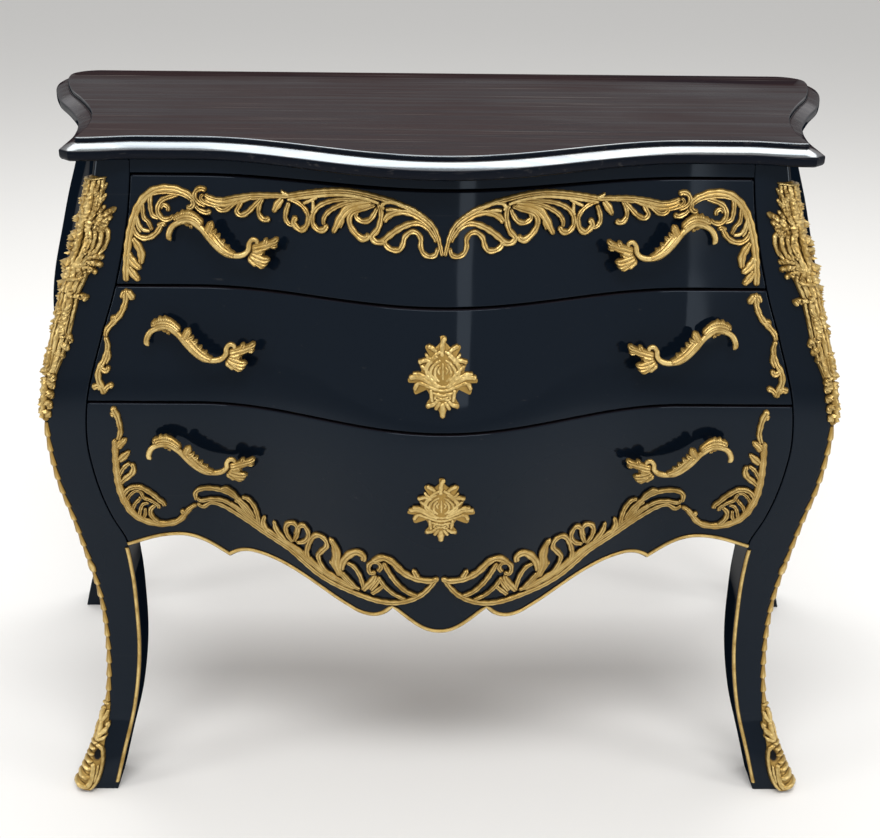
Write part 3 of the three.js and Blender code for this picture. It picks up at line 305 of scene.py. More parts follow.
# Wood grain: noise stretched along the board and folded to and fro into rings, with short dark pores
grainGroup, grainIn, grainOut = newGroup(
    "woodGrain",
    [("Stretch", "NodeSocketVector", (2.0, 30.0, 30.0)), ("Light", "NodeSocketColor", (0.5, 0.33, 0.17, 1)),
     ("Dark", "NodeSocketColor", (0.3, 0.17, 0.08, 1))],
    [("Colour", "NodeSocketColor"), ("Height", "NodeSocketFloat")])
along = stretchedPlace(grainGroup, grainIn.outputs["Stretch"])
bands = addNoise(grainGroup, along, {"Scale": 1.2, "Detail": 6.0, "Roughness": 0.62, "Distortion": 0.8})
pores = addNoise(grainGroup, along, {"Scale": 14.0, "Detail": 2.0})
rings = addMath(grainGroup, "PINGPONG", addMath(grainGroup, "MULTIPLY", bands, 9.0), 1.0)
poreMask = addRange(grainGroup, pores, 0.6, 0.72)
shade = addMath(grainGroup, "MAXIMUM", addMath(grainGroup, "MULTIPLY", rings, 0.6), poreMask)
grained = addMix(grainGroup, shade, grainIn.outputs["Light"], grainIn.outputs["Dark"])
grainGroup.links.new(grained, grainOut.inputs["Colour"])
grainGroup.links.new(addMath(grainGroup, "SUBTRACT", 1.0, poreMask), grainOut.inputs["Height"])


def newMaterial(name):
    material = bpy.data.materials.new(name)
    material.use_nodes = True
    tree = material.node_tree
    return material, tree, tree.nodes["Principled BSDF"]


def useGroup(tree, group, values=None):
    node = tree.nodes.new("ShaderNodeGroup")
    node.node_tree = group
    for key, value in (values or {}).items():
        node.inputs[key].default_value = value
    return node


def addBump(tree, shader, height, distance, strength=1.0):
    bump = addNode(tree, "ShaderNodeBump", {"Strength": strength, "Distance": distance * metre})
    tree.links.new(height, bump.inputs["Height"])
    tree.links.new(bump.outputs["Normal"], shader.inputs["Normal"])


lacquerLook = {
    "colour": (0.0028, 0.0052, 0.0095, 1), "dust": (0.24, 0.22, 0.20, 1), "film": (0.031, 0.0175, 0.017, 1),
    "mirror": (0.285, 0.305, 0.31, 1), "mirrorDull": (0.235, 0.265, 0.285, 1),
    "roughness": 0.05, "hazeRoughness": 0.12, "waveScale": 9.0, "waveDepth": 0.1,
}


# Sprayed lacquer: near black and glossy, slightly wavy, hazed in patches, with fine scratches, and with a
# film in long streaks where it faces up. Its gloss fades at a flat angle. Where the attribute "band" is 1 the
# surface is polished until it mirrors, which is done as a dim metal.
def lacquerMaterial(name, look):
    material, tree, shader = newMaterial(name)
    coordinate = addNode(tree, "ShaderNodeTexCoord")
    haze = addNoise(tree, coordinate.outputs["Object"], {"Scale": look["hazeScale"], "Detail": 5.0})
    wave = addNoise(tree, coordinate.outputs["Object"], {"Scale": lacquerLook["waveScale"], "Detail": 2.0})
    axes = addNode(tree, "ShaderNodeSeparateXYZ")
    tree.links.new(coordinate.outputs["Normal"], axes.inputs["Vector"])
    facesUp = addRange(tree, axes.outputs["Z"], 0.7, 0.97)
    dust = useGroup(tree, dustGroup, {"Amount": look["dust"]}).outputs["Mask"]
    scratch = useGroup(tree, scratchGroup, {"Keep": look["scratchKeep"]}).outputs["Mask"]
    marks = addMath(tree, "MAXIMUM", dust, addMath(tree, "MULTIPLY", scratch, 0.35))
    marks = addMath(tree, "MULTIPLY", marks, addRange(tree, facesUp, 0.0, 1.0, 0.25, 1.0))
    patchy = addRange(tree, haze, 0.3, 0.8, look["film"] * 0.6, look["film"])
    streaks = useGroup(tree, scratchGroup, {"Keep": 0.42, "Stretch": (2.0, 70.0, 70.0)}).outputs["Mask"]
    streaked = addMath(tree, "MULTIPLY", patchy, addRange(tree, streaks, 0.0, 1.0, 0.72, 1.1))
    film = addMath(tree, "MULTIPLY", streaked, facesUp)
    hazed = addMix(tree, film, lacquerLook["colour"], lacquerLook["film"])
    mirror = addMix(tree, streaks, lacquerLook["mirror"], lacquerLook["mirrorDull"])
    band = addNode(tree, "ShaderNodeAttribute", attribute_name="band").outputs["Fac"]
    dusted = addMix(tree, marks, hazed, lacquerLook["dust"])
    tree.links.new(addMix(tree, band, dusted, mirror), shader.inputs["Base Color"])
    tree.links.new(band, shader.inputs["Metallic"])
    clear, dull = lacquerLook["roughness"], lacquerLook["hazeRoughness"]
    patch = addRange(tree, haze, 0.35, 0.75, clear, dull)
    blur = addMath(tree, "MULTIPLY", film, addRange(tree, band, 0.0, 1.0, 0.45, 0.15))
    blurred = addMath(tree, "ADD", blur, patch)
    marked = addMath(tree, "MULTIPLY", marks, 0.5)
    tree.links.new(addMath(tree, "ADD", blurred, marked), shader.inputs["Roughness"])
    flat = addNode(tree, "ShaderNodeLayerWeight", {"Blend": 0.5}).outputs["Facing"]
    gloss = addRange(tree, flat, 0.38, look["glossEnd"], look["gloss"], 0.0)
    tree.links.new(gloss, shader.inputs["Specular IOR Level"])
    shader.inputs["Specular Tint"].default_value = look["sheen"]
    addBump(tree, shader, wave, lacquerLook["waveDepth"])
    return material


lacquer = lacquerMaterial("lacquer", {
    "dust": 0.12, "film": 0.4, "gloss": 0.19, "glossEnd": 0.78, "sheen": (0.74, 0.86, 1.0, 1),
    "scratchKeep": 0.70, "hazeScale": 6.0,
})
lacquerTop = lacquerMaterial("lacquerTop", {
    "dust": 0.75, "film": 0.8, "gloss": 0.08, "glossEnd": 0.9, "sheen": (1.0, 0.84, 0.82, 1),
    "scratchKeep": 0.60, "hazeScale": 4.0,
})

# bright is the colour of the painted highlight on crests, recess of the painted shade in hollows and where
# pieces crowd, void of the painted shade in holes
giltLook = {
    "bright": (0.72, 0.54, 0.22, 1), "body": (0.345, 0.212, 0.051, 1), "recess": (0.065, 0.031, 0.006, 1),
    "void": (0.004, 0.004, 0.005, 1), "metallic": 0.72, "roughness": 0.36,
    "castScale": 420.0, "castDepth": 0.16, "nearby": 5.0,
}


# Gilt casting with a fine cast skin, with painted light in its colour: a painted highlight on the crests, and
# painted shade in brown in the hollows and where pieces of it crowd. A level below nought is a hole, painted
# near black as its shade.
def giltMaterial(name):
    material, tree, shader = newMaterial(name)
    place = addNode(tree, "ShaderNodeTexCoord").outputs["Object"]
    paintedLightLevel = addNode(tree, "ShaderNodeAttribute", attribute_name="paintedLightLevel").outputs["Fac"]
    cast = addNoise(tree, place, {"Scale": giltLook["castScale"], "Detail": 3.0, "Roughness": 0.6})
    mottle = addNoise(tree, place, {"Scale": 60.0, "Detail": 5.0, "Roughness": 0.65})
    # Painted shade: an ambient occlusion node picks out where pieces of the casting crowd
    crowd = addNode(tree, "ShaderNodeAmbientOcclusion", {"Distance": giltLook["nearby"] * metre}, samples=6)
    crowded = addRange(tree, crowd.outputs["AO"], 0.9, 0.35, 0.0, 0.95)
    # Painted shade in the hollows and where pieces crowd, varied by a mottling noise
    hollow = addMath(tree, "MAXIMUM", addRange(tree, paintedLightLevel, 0.5, 0.0, 0.0, 0.8), crowded)
    paintedShade = addMath(tree, "MULTIPLY", hollow, addRange(tree, mottle, 0.2, 0.7, 0.6, 1.15), True)
    # Painted highlight: the crests take the bright colour, in patches
    crest = addRange(tree, paintedLightLevel, 0.72, 1.0)
    paintedHighlight = addMath(tree, "MULTIPLY", crest, addRange(tree, mottle, 0.3, 0.6))
    body = addMix(tree, paintedHighlight, giltLook["body"], giltLook["bright"])
    # Painted shade: below nought the colour goes near black, as the shade of a hole
    hole = addRange(tree, paintedLightLevel, -0.2, -0.7)
    dark = addMix(tree, hole, addMix(tree, paintedShade, body, giltLook["recess"]), giltLook["void"])
    tree.links.new(dark, shader.inputs["Base Color"])
    rough = addMath(tree, "ADD", addMath(tree, "MULTIPLY", paintedShade, 0.3), giltLook["roughness"])
    tree.links.new(rough, shader.inputs["Roughness"])
    shader.inputs["Metallic"].default_value = giltLook["metallic"]
    addBump(tree, shader, cast, giltLook["castDepth"])
    return material


gilt = giltMaterial("gilt")


def woodMaterial(name, stretch, light, dark, roughness):
    material, tree, shader = newMaterial(name)
    grain = useGroup(tree, grainGroup, {"Stretch": stretch, "Light": light, "Dark": dark})
    tree.links.new(grain.outputs["Colour"], shader.inputs["Base Color"])
    shader.inputs["Roughness"].default_value = roughness
    addBump(tree, shader, grain.outputs["Height"], 0.15, 0.6)
    return material


drawerWood = woodMaterial("drawerWood", (3.0, 2.0, 34.0), (0.56, 0.37, 0.19, 1), (0.33, 0.19, 0.09, 1), 0.55)
caseWood = woodMaterial("caseWood", (2.0, 30.0, 30.0), (0.15, 0.09, 0.05, 1), (0.07, 0.04, 0.022, 1), 0.7)

# Every CAD node takes a finish; most of them are replaced by the pieces below
for name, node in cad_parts.items():
    if "runner" in name or "_side_" in name or name.endswith(("_back", "_bottom")):
        look = drawerWood
    elif name in ("back_panel", "bottom_board"):
        look = caseWood
    else:
        look = lacquer
    node.data.materials.clear()
    node.data.materials.append(look)

print("top")
topForm = {
    "cornerHalfWidth": 411, "bow": 91, "cornerDip": 12, "dipLength": 70, "backCornerRadius": 38,
    "reach": 17, "fillet": 5.5, "step": 2, "slopeDrop": 6, "nose": 5, "soft": 1.1,
}


# Front edge of the top's upper face: eased in at the corners and bowed forward by the bell
def topFrontY(x):
    t = np.clip((topForm["cornerHalfWidth"] - np.abs(x)) / topForm["dipLength"], 0, 1)
    return topForm["cornerDip"] * t * t * (3 - 2 * t) - topForm["bow"] * bell(x)


# Outline of the upper face: the bowed front, the flared side, a quarter circle to the back, then its mirror
def topOutline():
    corner, step, depth = topForm["cornerHalfWidth"], topForm["step"], chest["topDepth"]
    radius = topForm["backCornerRadius"]
    front = np.linspace(0, corner, 90)
    frontRun = np.stack([front, topFrontY(front)], -1)
    side = np.linspace(step, depth - radius, 70)
    sideRun = np.stack([corner + step + flare(side), side], -1)
    turn = np.linspace(0, np.pi / 2, 20)[1:]
    middleX = sideRun[-1, 0] - radius
    backRun = np.stack([middleX + radius * np.cos(turn), depth - radius * (1 - np.sin(turn))], -1)
    half = np.concatenate([frontRun, sideRun, backRun])
    return np.concatenate([half, half[:0:-1] * np.array([-1, 1])])


# Outline moved out along the mean normal of its two edges, held at the flat back edge
def outset(outline, distance):
    u = outline - np.roll(outline, 1, 0)
    v = np.roll(outline, -1, 0) - outline
    u /= np.linalg.norm(u, axis=1, keepdims=True)
    v /= np.linalg.norm(v, axis=1, keepdims=True)
    normal = np.stack([u[:, 1] + v[:, 1], -u[:, 0] - v[:, 0]], -1)
    normal /= np.linalg.norm(normal, axis=1, keepdims=True)
    mitre = distance / np.maximum(normal[:, 0] * u[:, 1] - normal[:, 1] * u[:, 0], 0.5)
    moved = outline + normal * mitre[:, None]
    moved[:, 1] = np.minimum(moved[:, 1], chest["topDepth"])
    return moved


# Rows of (distance out, height, band): a small fillet under the upper edge, a sloping band that is polished
# until it mirrors and steepens towards the nose, and the nose itself, rounded above and below
def topProfile():
    top, bottom, soft = chest["top"], caseHeight, topForm["soft"]
    reach, nose, fillet, step = topForm["reach"], topForm["nose"], topForm["fillet"], topForm["step"]
    slopeEnd = top - fillet - topForm["slopeDrop"]
    rows = [(-soft * 1.4, top, 0), (-soft * 1.1, top - soft * 0.08, 1), (-soft * 0.3, top - soft * 0.5, 1),
            (0, top - soft, 0), (0, top - fillet, 0)]
    rows += [(0.6, top - fillet - 0.3, 0), (step, top - fillet, 0.5)]
    run = reach - nose * 0.4 - step
    fall = top - fillet - slopeEnd
    slope = np.linspace(0, 1, 10)[1:]
    rows += [(step + run * s, top - fillet - fall * (0.8 * s + 0.2 * s ** 3), 1) for s in slope]
    high, low = slopeEnd - nose * 0.55, bottom + nose
    rows += [(reach - nose * 0.4 + nose * 0.4 * np.cos(t), high + nose * 0.5 * np.sin(t), 0.3 * (t > 1))
             for t in np.linspace(np.pi * 0.42, 0, 6)]
    quarter = np.linspace(0, np.pi / 2, 8)
    rows += [(reach - nose + nose * np.cos(t), low - nose * np.sin(t), 0) for t in quarter]
    return rows + [(-6, bottom, 0)]


outline = topOutline()
profile = np.array(topProfile())
topRows = [np.column_stack([outset(outline, out), np.full(len(outline), z)]) for out, z in profile[:, :2]]
topGrid = np.stack(topRows)
outward = outset(outline, 1) - outline
facesFront = np.clip(-outward[:, 1] / np.linalg.norm(outward, axis=1) * 3 - 1, 0, 1)
band = (profile[:, 2][:, None] * facesFront).reshape(-1)
topFaces = gridFaces(*topGrid.shape[:2], True, True)
topPiece = makeMesh("topBoard", topGrid, topFaces, lacquerTop, {"band": band}, sharpAngle=35)
seat(topPiece, "carcass", "lacquer", "top")

print("case")
seam = {"joint": 0.3, "curved": 0.9, "side": 1.5}
stations = np.linspace(-1, 1, 181)


# A strip of the front: x is a share of the width at each height, y is on the serpentine surface
def frontGrid(shares, lows, high, rows, gap):
    share = np.linspace(0, 1, rows)
    z = lows[:, None] + (high - lows[:, None]) * share[None, :]
    x = shares[:, None] * (innerX(z) - gap)
    return np.stack([x, frontY(x, z), z], -1)


# The same points further back
def through(points, depth):
    return points + np.array([0, depth, 0])


railBottom = 810.0
railGrid = frontGrid(stations, np.full(len(stations), railBottom), caseHeight, 5, seam["joint"])
rail = boardFrom("topRail", railGrid, through(railGrid, chest["frontThickness"]), lacquer)
seat(rail, "carcass", "lacquer", "front_top_rail")


# Front post: at each height a rectangle with a rounded outer corner
def frontPost():
    z = np.linspace(0, caseHeight, 150)
    x, y, r, back = cornerX(z), postFront(z), chest["cornerRadius"], postFront(z) + chest["postDepth"]
    turn = np.linspace(0, np.pi / 2, 9)
    ring = [np.stack([innerX(z), y, z], -1)]
    ring += [np.stack([x - r + r * np.sin(t), y + r - r * np.cos(t), z], -1) for t in turn]
    ring += [np.stack([x, back, z], -1), np.stack([innerX(z), back, z], -1)]
    return np.stack(ring, 1)


# Back post: at each height four corners, its outer face on the flared side
def backPost():
    z = np.linspace(0, caseHeight, 130)
    front, back = chest["backPostFront"], chest["backPostBack"]
    inner = sideX(front, z) - chest["backPostWidth"]
    ring = [(inner, front), (sideX(front, z), front), (sideX(back, z), back), (inner, back)]
    return np.stack([np.stack([x, np.full(len(z), float(y)), z], -1) for x, y in ring], 1)


for label, grid, node in (("frontPost", frontPost(), "front_leg"), ("backPost", backPost(), "back_leg")):
    postFaces = gridFaces(*grid.shape[:2], True, True)
    for side, points in (("right", grid), ("left", mirror(grid))):
        piece = makeMesh(f"{label}.{side}", points, postFaces, lacquer)
        seat(softenEdges(piece, 1.2), "carcass", "lacquer", f"{node}_{side}")

sideForm = {"thickness": 15, "bottom": 356, "apronDrop": 34}


# Side: the corner's profile plus the flare, between the posts, its lower edge dropped by a squared sine
def sidePanel():
    u = np.linspace(0, 1, 70)[:, None]
    low = sideForm["bottom"] - sideForm["apronDrop"] * np.sin(np.pi * u) ** 2
    z = low + (caseHeight - low) * np.linspace(0, 1, 60)[None, :]
    start = postFront(z) + chest["postDepth"] + seam["curved"]
    y = start + (chest["backPostFront"] - seam["joint"] - start) * u
    return np.stack([sideX(y, z), y, z], -1)


panel = sidePanel()
for side, points in (("right", panel), ("left", mirror(panel))):
    inward = np.array([-sideForm["thickness"] if side == "right" else sideForm["thickness"], 0, 0])
    board = boardFrom(f"sidePanel.{side}", points, points + inward, lacquer)
    seat(board, "carcass", "lacquer", f"side_panel_{side}")

print("drawer fronts")
# upper and lower edge of each front; the third one's lower edge is the apron
drawers = {
    "drawer_1": {"low": 687.5, "high": 807},
    "drawer_2": {"low": 553.5, "high": 684.5},
    "drawer_3": {"high": 550.5},
}
apron = {"halfWidth": 385, "bottom": 272, "rise": 96}
# each arc is its four Bezier points, in shares of the apron's half-width and rise
apronArcs = np.array([
    [(0, 0), (0.057, 0), (0.093, 0.16), (0.148, 0.34)],
    [(0.148, 0.34), (0.18, 0.12), (0.238, 0.1), (0.29, 0.22)],
    [(0.29, 0.22), (0.37, 0.35), (0.472, 0.7), (0.6, 0.765)],
    [(0.6, 0.765), (0.63, 0.775), (0.655, 0.73), (0.678, 0.66)],
    [(0.678, 0.66), (0.733, 0.82), (0.772, 0.98), (0.834, 0.98)],
    [(0.834, 0.98), (0.894, 0.98), (0.938, 0.9), (1, 0.81)],
])


# Lower edge of the apron: cubic Bezier arcs that meet in cusps
def apronEdge(perArc):
    t = np.linspace(0, 1, perArc + 1)[1:, None]
    weights = [(1 - t) ** 3, 3 * t * (1 - t) ** 2, 3 * t * t * (1 - t), t ** 3]
    half = [np.array([[0.0, 0.0]])] + [sum(w * p for w, p in zip(weights, arc)) for arc in apronArcs]
    half = np.concatenate(half) * [apron["halfWidth"], apron["rise"]] + [0, apron["bottom"]]
    return np.concatenate([half[:0:-1] * [-1, 1], half])


for name, form in drawers.items():
    if "low" in form:
        shares, lows, rows = stations, np.full(len(stations), form["low"]), 26
    else:
        edge = apronEdge(22)
        shares, lows, rows = edge[:, 0] / apron["halfWidth"], edge[:, 1], 60
    grid = frontGrid(shares, lows, form["high"], rows, seam["side"])
    board = boardFrom(f"{name}Front", grid, through(grid, chest["frontThickness"]), lacquer, bevel=1.0)
    seat(board, name, "lacquer", f"{name}_front")

print("openwork mounts")
# Lengths of lobes and tips are in stroke widths. A stroke wider than twoFrom has two strands, and one wider
# than threeFrom has three.
mountForm = {
    "lift": 0.1, "height": 4.6, "sink": 0.5, "perSpan": 9, "groove": 0.27, "grooveSharpness": 1.5,
    "crown": 0.6, "serration": 0.09, "lobe": 1.6, "tip": 0.42, "bluntness": 0.35,
    "twoFrom": 5.2, "threeFrom": 10.5, "lumpPitch": 5.2, "slowPitch": 13,
}


# Uniform Catmull-Rom curve through the places of a stroke, sampled evenly from place to place
def smoothPath(places, perSpan):
    p = np.array(places, float)
    p = np.concatenate([2 * p[:1] - p[1:2], p, 2 * p[-1:] - p[-2:-1]])
    spans = len(p) - 3
    s = np.linspace(0, spans, spans * perSpan + 1)
    i = np.minimum(s.astype(int), spans - 1)
    t = (s - i)[:, None]
    a, b, c, d = p[i], p[i + 1], p[i + 2], p[i + 3]
    square, cube = 2 * a - 5 * b + 4 * c - d, 3 * b - a - 3 * c + d
    return 0.5 * (2 * b + (c - a) * t + square * t ** 2 + cube * t ** 3)


# How far the underside of a mount is let into what carries it
def sunk(turn):
    return mountForm["sink"] * (np.sin(turn) < -0.01)


# A ridge along a stroke, cast in strands. Across it, the height is a rounded crown with a groove between each
# two strands, by a raised cosine. Along it, the width is a parabola through the three given ones, notched
# like a leaf's edge and rounded at both ends. Slim places stand lower. Lumps are a product of two cosines.
def strokeGrid(stroke, size, place, height, widen=1.0, strands=0, around=28, lumps=0.0):
    places, widths = stroke
    centre = smoothPath(places, mountForm["perSpan"]) * size
    steps = np.gradient(centre, axis=0)
    pace = np.linalg.norm(steps, axis=1)
    along = steps / np.maximum(pace, 1e-6)[:, None]
    length = np.concatenate([[0], np.cumsum((pace[1:] + pace[:-1]) / 2)])
    t = length / length[-1]
    middle = widths[1]
    first, last = (end + (middle - end) * mountForm["bluntness"] for end in (widths[0], widths[2]))
    width = (first * (1 - t) * (1 - 2 * t) + middle * 4 * t * (1 - t) + last * t * (2 * t - 1)) * size * widen
    lobes = max(int(length[-1] / (mountForm["lobe"] * width.mean()) + 0.5), 1)
    notch = 1 + mountForm["serration"] * np.cos(2 * np.pi * lobes * t)
    toEnd = np.minimum(length, length[-1] - length)
    tip = np.sqrt(np.clip(toEnd / (mountForm["tip"] * width.mean()), 0.015, 1))
    half = width / 2 * notch * tip
    count = strands or 1 + (width.max() > mountForm["twoFrom"]) + (width.max() > mountForm["threeFrom"])
    turn = fullTurn(around)[None, :]
    cross = np.cos(turn)
    crown = np.clip(np.sin(turn), 0, 1) ** mountForm["crown"]
    groove = (0.5 + 0.5 * np.cos(np.pi * count * (cross + 1))) ** mountForm["grooveSharpness"]
    groove = groove * (np.abs(cross) < 1 - 0.7 / count)
    rise = height * (0.6 + 0.4 * np.clip(width / (1.2 * height), 0, 1.2)) * tip
    quick = np.cos(2 * np.pi * length / mountForm["lumpPitch"] + centre[0, 1])
    bumps = 1 + lumps * quick * np.cos(2 * np.pi * length / mountForm["slowPitch"])
    level = crown * (1 - mountForm["groove"] * groove) * (0.92 + 0.08 * notch * bumps)[:, None]
    rise = rise * bumps
    lift = rise[:, None] * level - sunk(turn)
    normal = np.stack([-along[:, 1], along[:, 0]], -1)
    flat = centre[:, None] + normal[:, None] * (cross * half[:, None])[..., None]
    # Also returns the level the gilt paints by: high on the crown, lower in the grooves and at the tips, so
    # crests get painted highlight and grooves painted shade
    return place(flat[..., 0], flat[..., 1], lift), np.clip(level * (0.75 + 0.25 * tip[:, None]), 0, 1)


# Several closed grids as one mesh
def gatherGrids(grids):
    points, faces, paintedLightLevel, start = [], [], [], 0
    for grid, level in grids:
        faces += gridFaces(*grid.shape[:2], True, True, start)
        points.append(grid.reshape(-1, 3))
        paintedLightLevel.append(level.reshape(-1))
        start += points[-1].shape[0]
    return np.concatenate(points), faces, np.concatenate(paintedLightLevel)


# Each grid is one closed shell, so each is turned to face out by itself before they are gathered
def facingOut(grid):
    points, level = grid
    faces = gridFaces(*points.shape[:2], True, True)
    return (points[:, ::-1], level[:, ::-1]) if facesInward(points.reshape(-1, 3), faces) else grid


# One gilt piece from its closed grids, mirrored to the chest's other side when flipped
def giltPiece(name, grids, body, node, flip):
    turned = [facingOut((mirror(p) if flip else p, level)) for p, level in grids]
    points, faces, paintedLightLevel = gatherGrids(turned)
    piece = makeMesh(name, points, faces, gilt, {"paintedLightLevel": paintedLightLevel}, sharpAngle=55)
    return seat(piece, body, "gilt", node)


# Carries a flat drawing onto the front: its x from outer, its z up from bottom, its lift straight forward
def onFront(outer, bottom):
    def place(x, z, lift):
        px, pz = x - outer, z + bottom
        return np.stack([px, frontY(px, pz) - mountForm["lift"] - lift, pz], -1)
    return place


# The first side is made as drawn, the second as its mirror
def giltPair(name, grids, body, node, sides):
    for side in sides:
        giltPiece(f"{name}.{side}", grids, body, f"{node}_{side}", side != sides[0])


# A mount of strokes on a drawer front, drawn for the left side
def tracery(name, form, body, node):
    place = onFront(form["outer"], form["bottom"])
    widen, height = form["widen"], mountForm["height"]
    grids = [strokeGrid(stroke, form["size"], place, height, widen) for stroke in form["strokes"]]
    giltPair(name, grids, body, node, ("left", "right"))


# Strokes: places of the centre line, then widths at start, middle and end, all in shares of the mount's size
cornerScroll = {"size": 100, "widen": 1.12, "outer": 366, "bottom": 690, "strokes": [
    ([(.035, 0), (.045, .2), (.065, .4), (.1, .58), (.16, .76), (.25, .91), (.38, 1.01), (.55, 1.035),
      (.7, 1), (.8, .94), (.84, .87)], (.07, .085, .05)),
    ([(.1, .5), (.15, .68), (.22, .84), (.32, .95), (.45, .99), (.6, .985), (.72, .955), (.8, .9)],
     (.04, .05, .03)),
    ([(.8, .93), (.82, .86), (.78, .82), (.74, .84)], (.06, .06, .07)),
    ([(.66, .97), (.48, .91), (.42, .83), (.42, .75), (.48, .69), (.56, .7), (.585, .74)], (.05, .06, .05)),
    ([(.44, .8), (.48, .85), (.53, .82), (.525, .77)], (.05, .05, .06)),
    ([(.35, .98), (.33, .9), (.335, .8), (.36, .73), (.44, .7)], (.05, .055, .05)),
    ([(.24, .88), (.25, .72), (.3, .66), (.33, .6), (.35, .56)], (.05, .05, .04)),
    ([(.12, .62), (.16, .53), (.23, .485), (.31, .49), (.38, .53), (.43, .59), (.46, .66)], (.05, .06, .06)),
    ([(.17, .74), (.19, .66), (.21, .61), (.25, .57), (.33, .56)], (.04, .04, .04)),
    ([(.17, .8), (.165, .68), (.18, .6), (.22, .54)], (.03, .03, .03)),
    ([(.4, .6), (.46, .64), (.51, .62)], (.06, .06, .06)),
    ([(.11, .5), (.17, .41), (.21, .33), (.215, .25), (.2, .19)], (.03, .085, .04)),
    ([(.06, .34), (.09, .26), (.14, .2), (.2, .155), (.215, .145)], (.05, .09, .04)),
    ([(.06, .19), (.11, .11), (.16, .05), (.2, .025)], (.05, .08, .05)),
]}
tracery("cornerScroll", cornerScroll, "drawer_1", "drawer_1_corner_scroll")

leafSpray = {"size": 286, "widen": 1.22, "outer": 286, "bottom": 738, "strokes": [
    ([(.05, .17), (.085, .156), (.125, .152), (.177, .164), (.258, .178), (.339, .183), (.39, .187),
      (.44, .199), (.52, .216), (.6, .227), (.677, .225), (.755, .212), (.813, .199), (.87, .177),
      (.927, .146), (.958, .117), (.976, .082), (.986, .045), (.996, .006)], (.014, .018, .013)),
    ([(.384, .171), (.44, .184), (.512, .199), (.6, .212), (.67, .21), (.724, .2), (.755, .19)],
     (.012, .014, .012)),
    ([(.724, .206), (.658, .201), (.591, .192), (.54, .175), (.504, .15), (.488, .117), (.492, .087),
      (.512, .07), (.536, .075), (.548, .095)], (.012, .017, .023)),
    ([(.715, .2), (.685, .197), (.626, .184), (.575, .159), (.544, .133), (.532, .107), (.536, .088)],
     (.012, .017, .014)),
    ([(.728, .192), (.677, .182), (.63, .161), (.603, .128), (.587, .098), (.567, .062)], (.013, .03, .008)),
    ([(.64, .165), (.612, .14), (.606, .11), (.597, .083)], (.014, .018, .007)),
    ([(.74, .186), (.69, .167), (.65, .151), (.635, .124), (.642, .094), (.662, .07), (.685, .056),
      (.705, .063), (.706, .078)], (.012, .02, .027)),
    ([(.666, .157), (.662, .134), (.685, .12), (.712, .126), (.732, .15), (.744, .177)], (.014, .018, .013)),
    ([(.748, .193), (.759, .16), (.755, .122), (.744, .092), (.724, .068), (.736, .05), (.763, .051),
      (.786, .071), (.824, .1), (.863, .12), (.9, .127), (.935, .113), (.96, .083), (.974, .055)],
     (.014, .021, .012)),
    ([(.774, .169), (.763, .18), (.771, .194), (.797, .2), (.84, .191), (.886, .175), (.93, .147)],
     (.013, .014, .01)),
    ([(.766, .122), (.79, .15), (.832, .166), (.878, .16), (.923, .135), (.957, .107)], (.022, .021, .012)),
    ([(.774, .169), (.805, .173), (.84, .167)], (.013, .013, .012)),
    ([(.77, .065), (.778, .039), (.801, .025), (.828, .026), (.843, .046), (.851, .074), (.874, .094),
      (.897, .091), (.912, .07), (.912, .04), (.923, .017), (.946, .007), (.969, .014), (.978, .04)],
     (.018, .018, .014)),
    ([(.392, .177), (.432, .164), (.46, .141), (.472, .111), (.464, .08), (.444, .063), (.424, .07),
      (.412, .089), (.424, .113)], (.014, .019, .025)),
    ([(.396, .165), (.384, .134), (.379, .103), (.392, .081), (.416, .078)], (.016, .018, .015)),
    ([(.448, .162), (.476, .176), (.512, .195)], (.012, .013, .012)),
    ([(.49, .185), (.492, .15), (.484, .125)], (.013, .014, .012)),
    ([(.29, .172), (.274, .14), (.27, .113), (.282, .091), (.303, .088), (.311, .1)], (.014, .018, .025)),
    ([(.21, .165), (.193, .135), (.181, .111), (.197, .097), (.226, .11), (.254, .138), (.286, .172)],
     (.014, .019, .014)),
    ([(.088, .137), (.109, .115), (.133, .113), (.157, .129), (.189, .163)], (.015, .018, .014)),
    ([(.013, .131), (.029, .112), (.057, .101), (.078, .109)], (.014, .018, .025)),
    ([(.06, .125), (.029, .139), (.013, .162), (.021, .185), (.041, .193), (.062, .186)], (.016, .018, .023)),
    ([(.049, .174), (.037, .158), (.053, .14), (.096, .13), (.141, .14), (.181, .16)], (.012, .016, .012)),
    ([(.371, .18), (.347, .148), (.327, .115)], (.018, .026, .008)),
    ([(.05, .158), (.085, .141), (.13, .137), (.18, .15), (.25, .172)], (.014, .026, .012)),
    ([(.2, .172), (.24, .166), (.3, .176), (.36, .183)], (.01, .016, .012)),
    ([(.4, .188), (.375, .194), (.362, .206)], (.014, .014, .007)),
]}
tracery("leafSpray", leafSpray, "drawer_1", "drawer_1_leaf_spray")

edgeLeaf = {"size": 100, "widen": 1.15, "outer": 406, "bottom": 556, "strokes": [
    ([(.43, 1.27), (.43, 1.2), (.42, 1.12), (.38, 1.02), (.33, .95), (.27, .89), (.2, .81), (.175, .72)],
     (.05, .065, .045)),
    ([(.425, 1.25), (.395, 1.2), (.385, 1.15)], (.045, .065, .04)),
    ([(.44, 1.255), (.48, 1.2), (.525, 1.145)], (.045, .08, .04)),
    ([(.43, 1.22), (.445, 1.15)], (.09, .1, .07)),
    ([(.34, .95), (.28, .935), (.235, .93)], (.05, .075, .065)),
    ([(.175, .74), (.2, .64), (.185, .55), (.15, .46), (.1, .38), (.075, .3), (.08, .22), (.12, .12),
      (.14, .06)], (.045, .065, .08)),
    ([(.2, .6), (.2, .5), (.16, .41)], (.04, .06, .03)),
    ([(.09, .42), (.12, .37), (.16, .34), (.19, .36), (.18, .4)], (.05, .06, .06)),
    ([(.12, .12), (.06, .16), (-.01, .13)], (.07, .07, .07)),
    ([(.13, .1), (.19, .16), (.25, .17)], (.06, .06, .08)),
]}
tracery("edgeLeaf", edgeLeaf, "drawer_2", "drawer_2_edge_leaf")

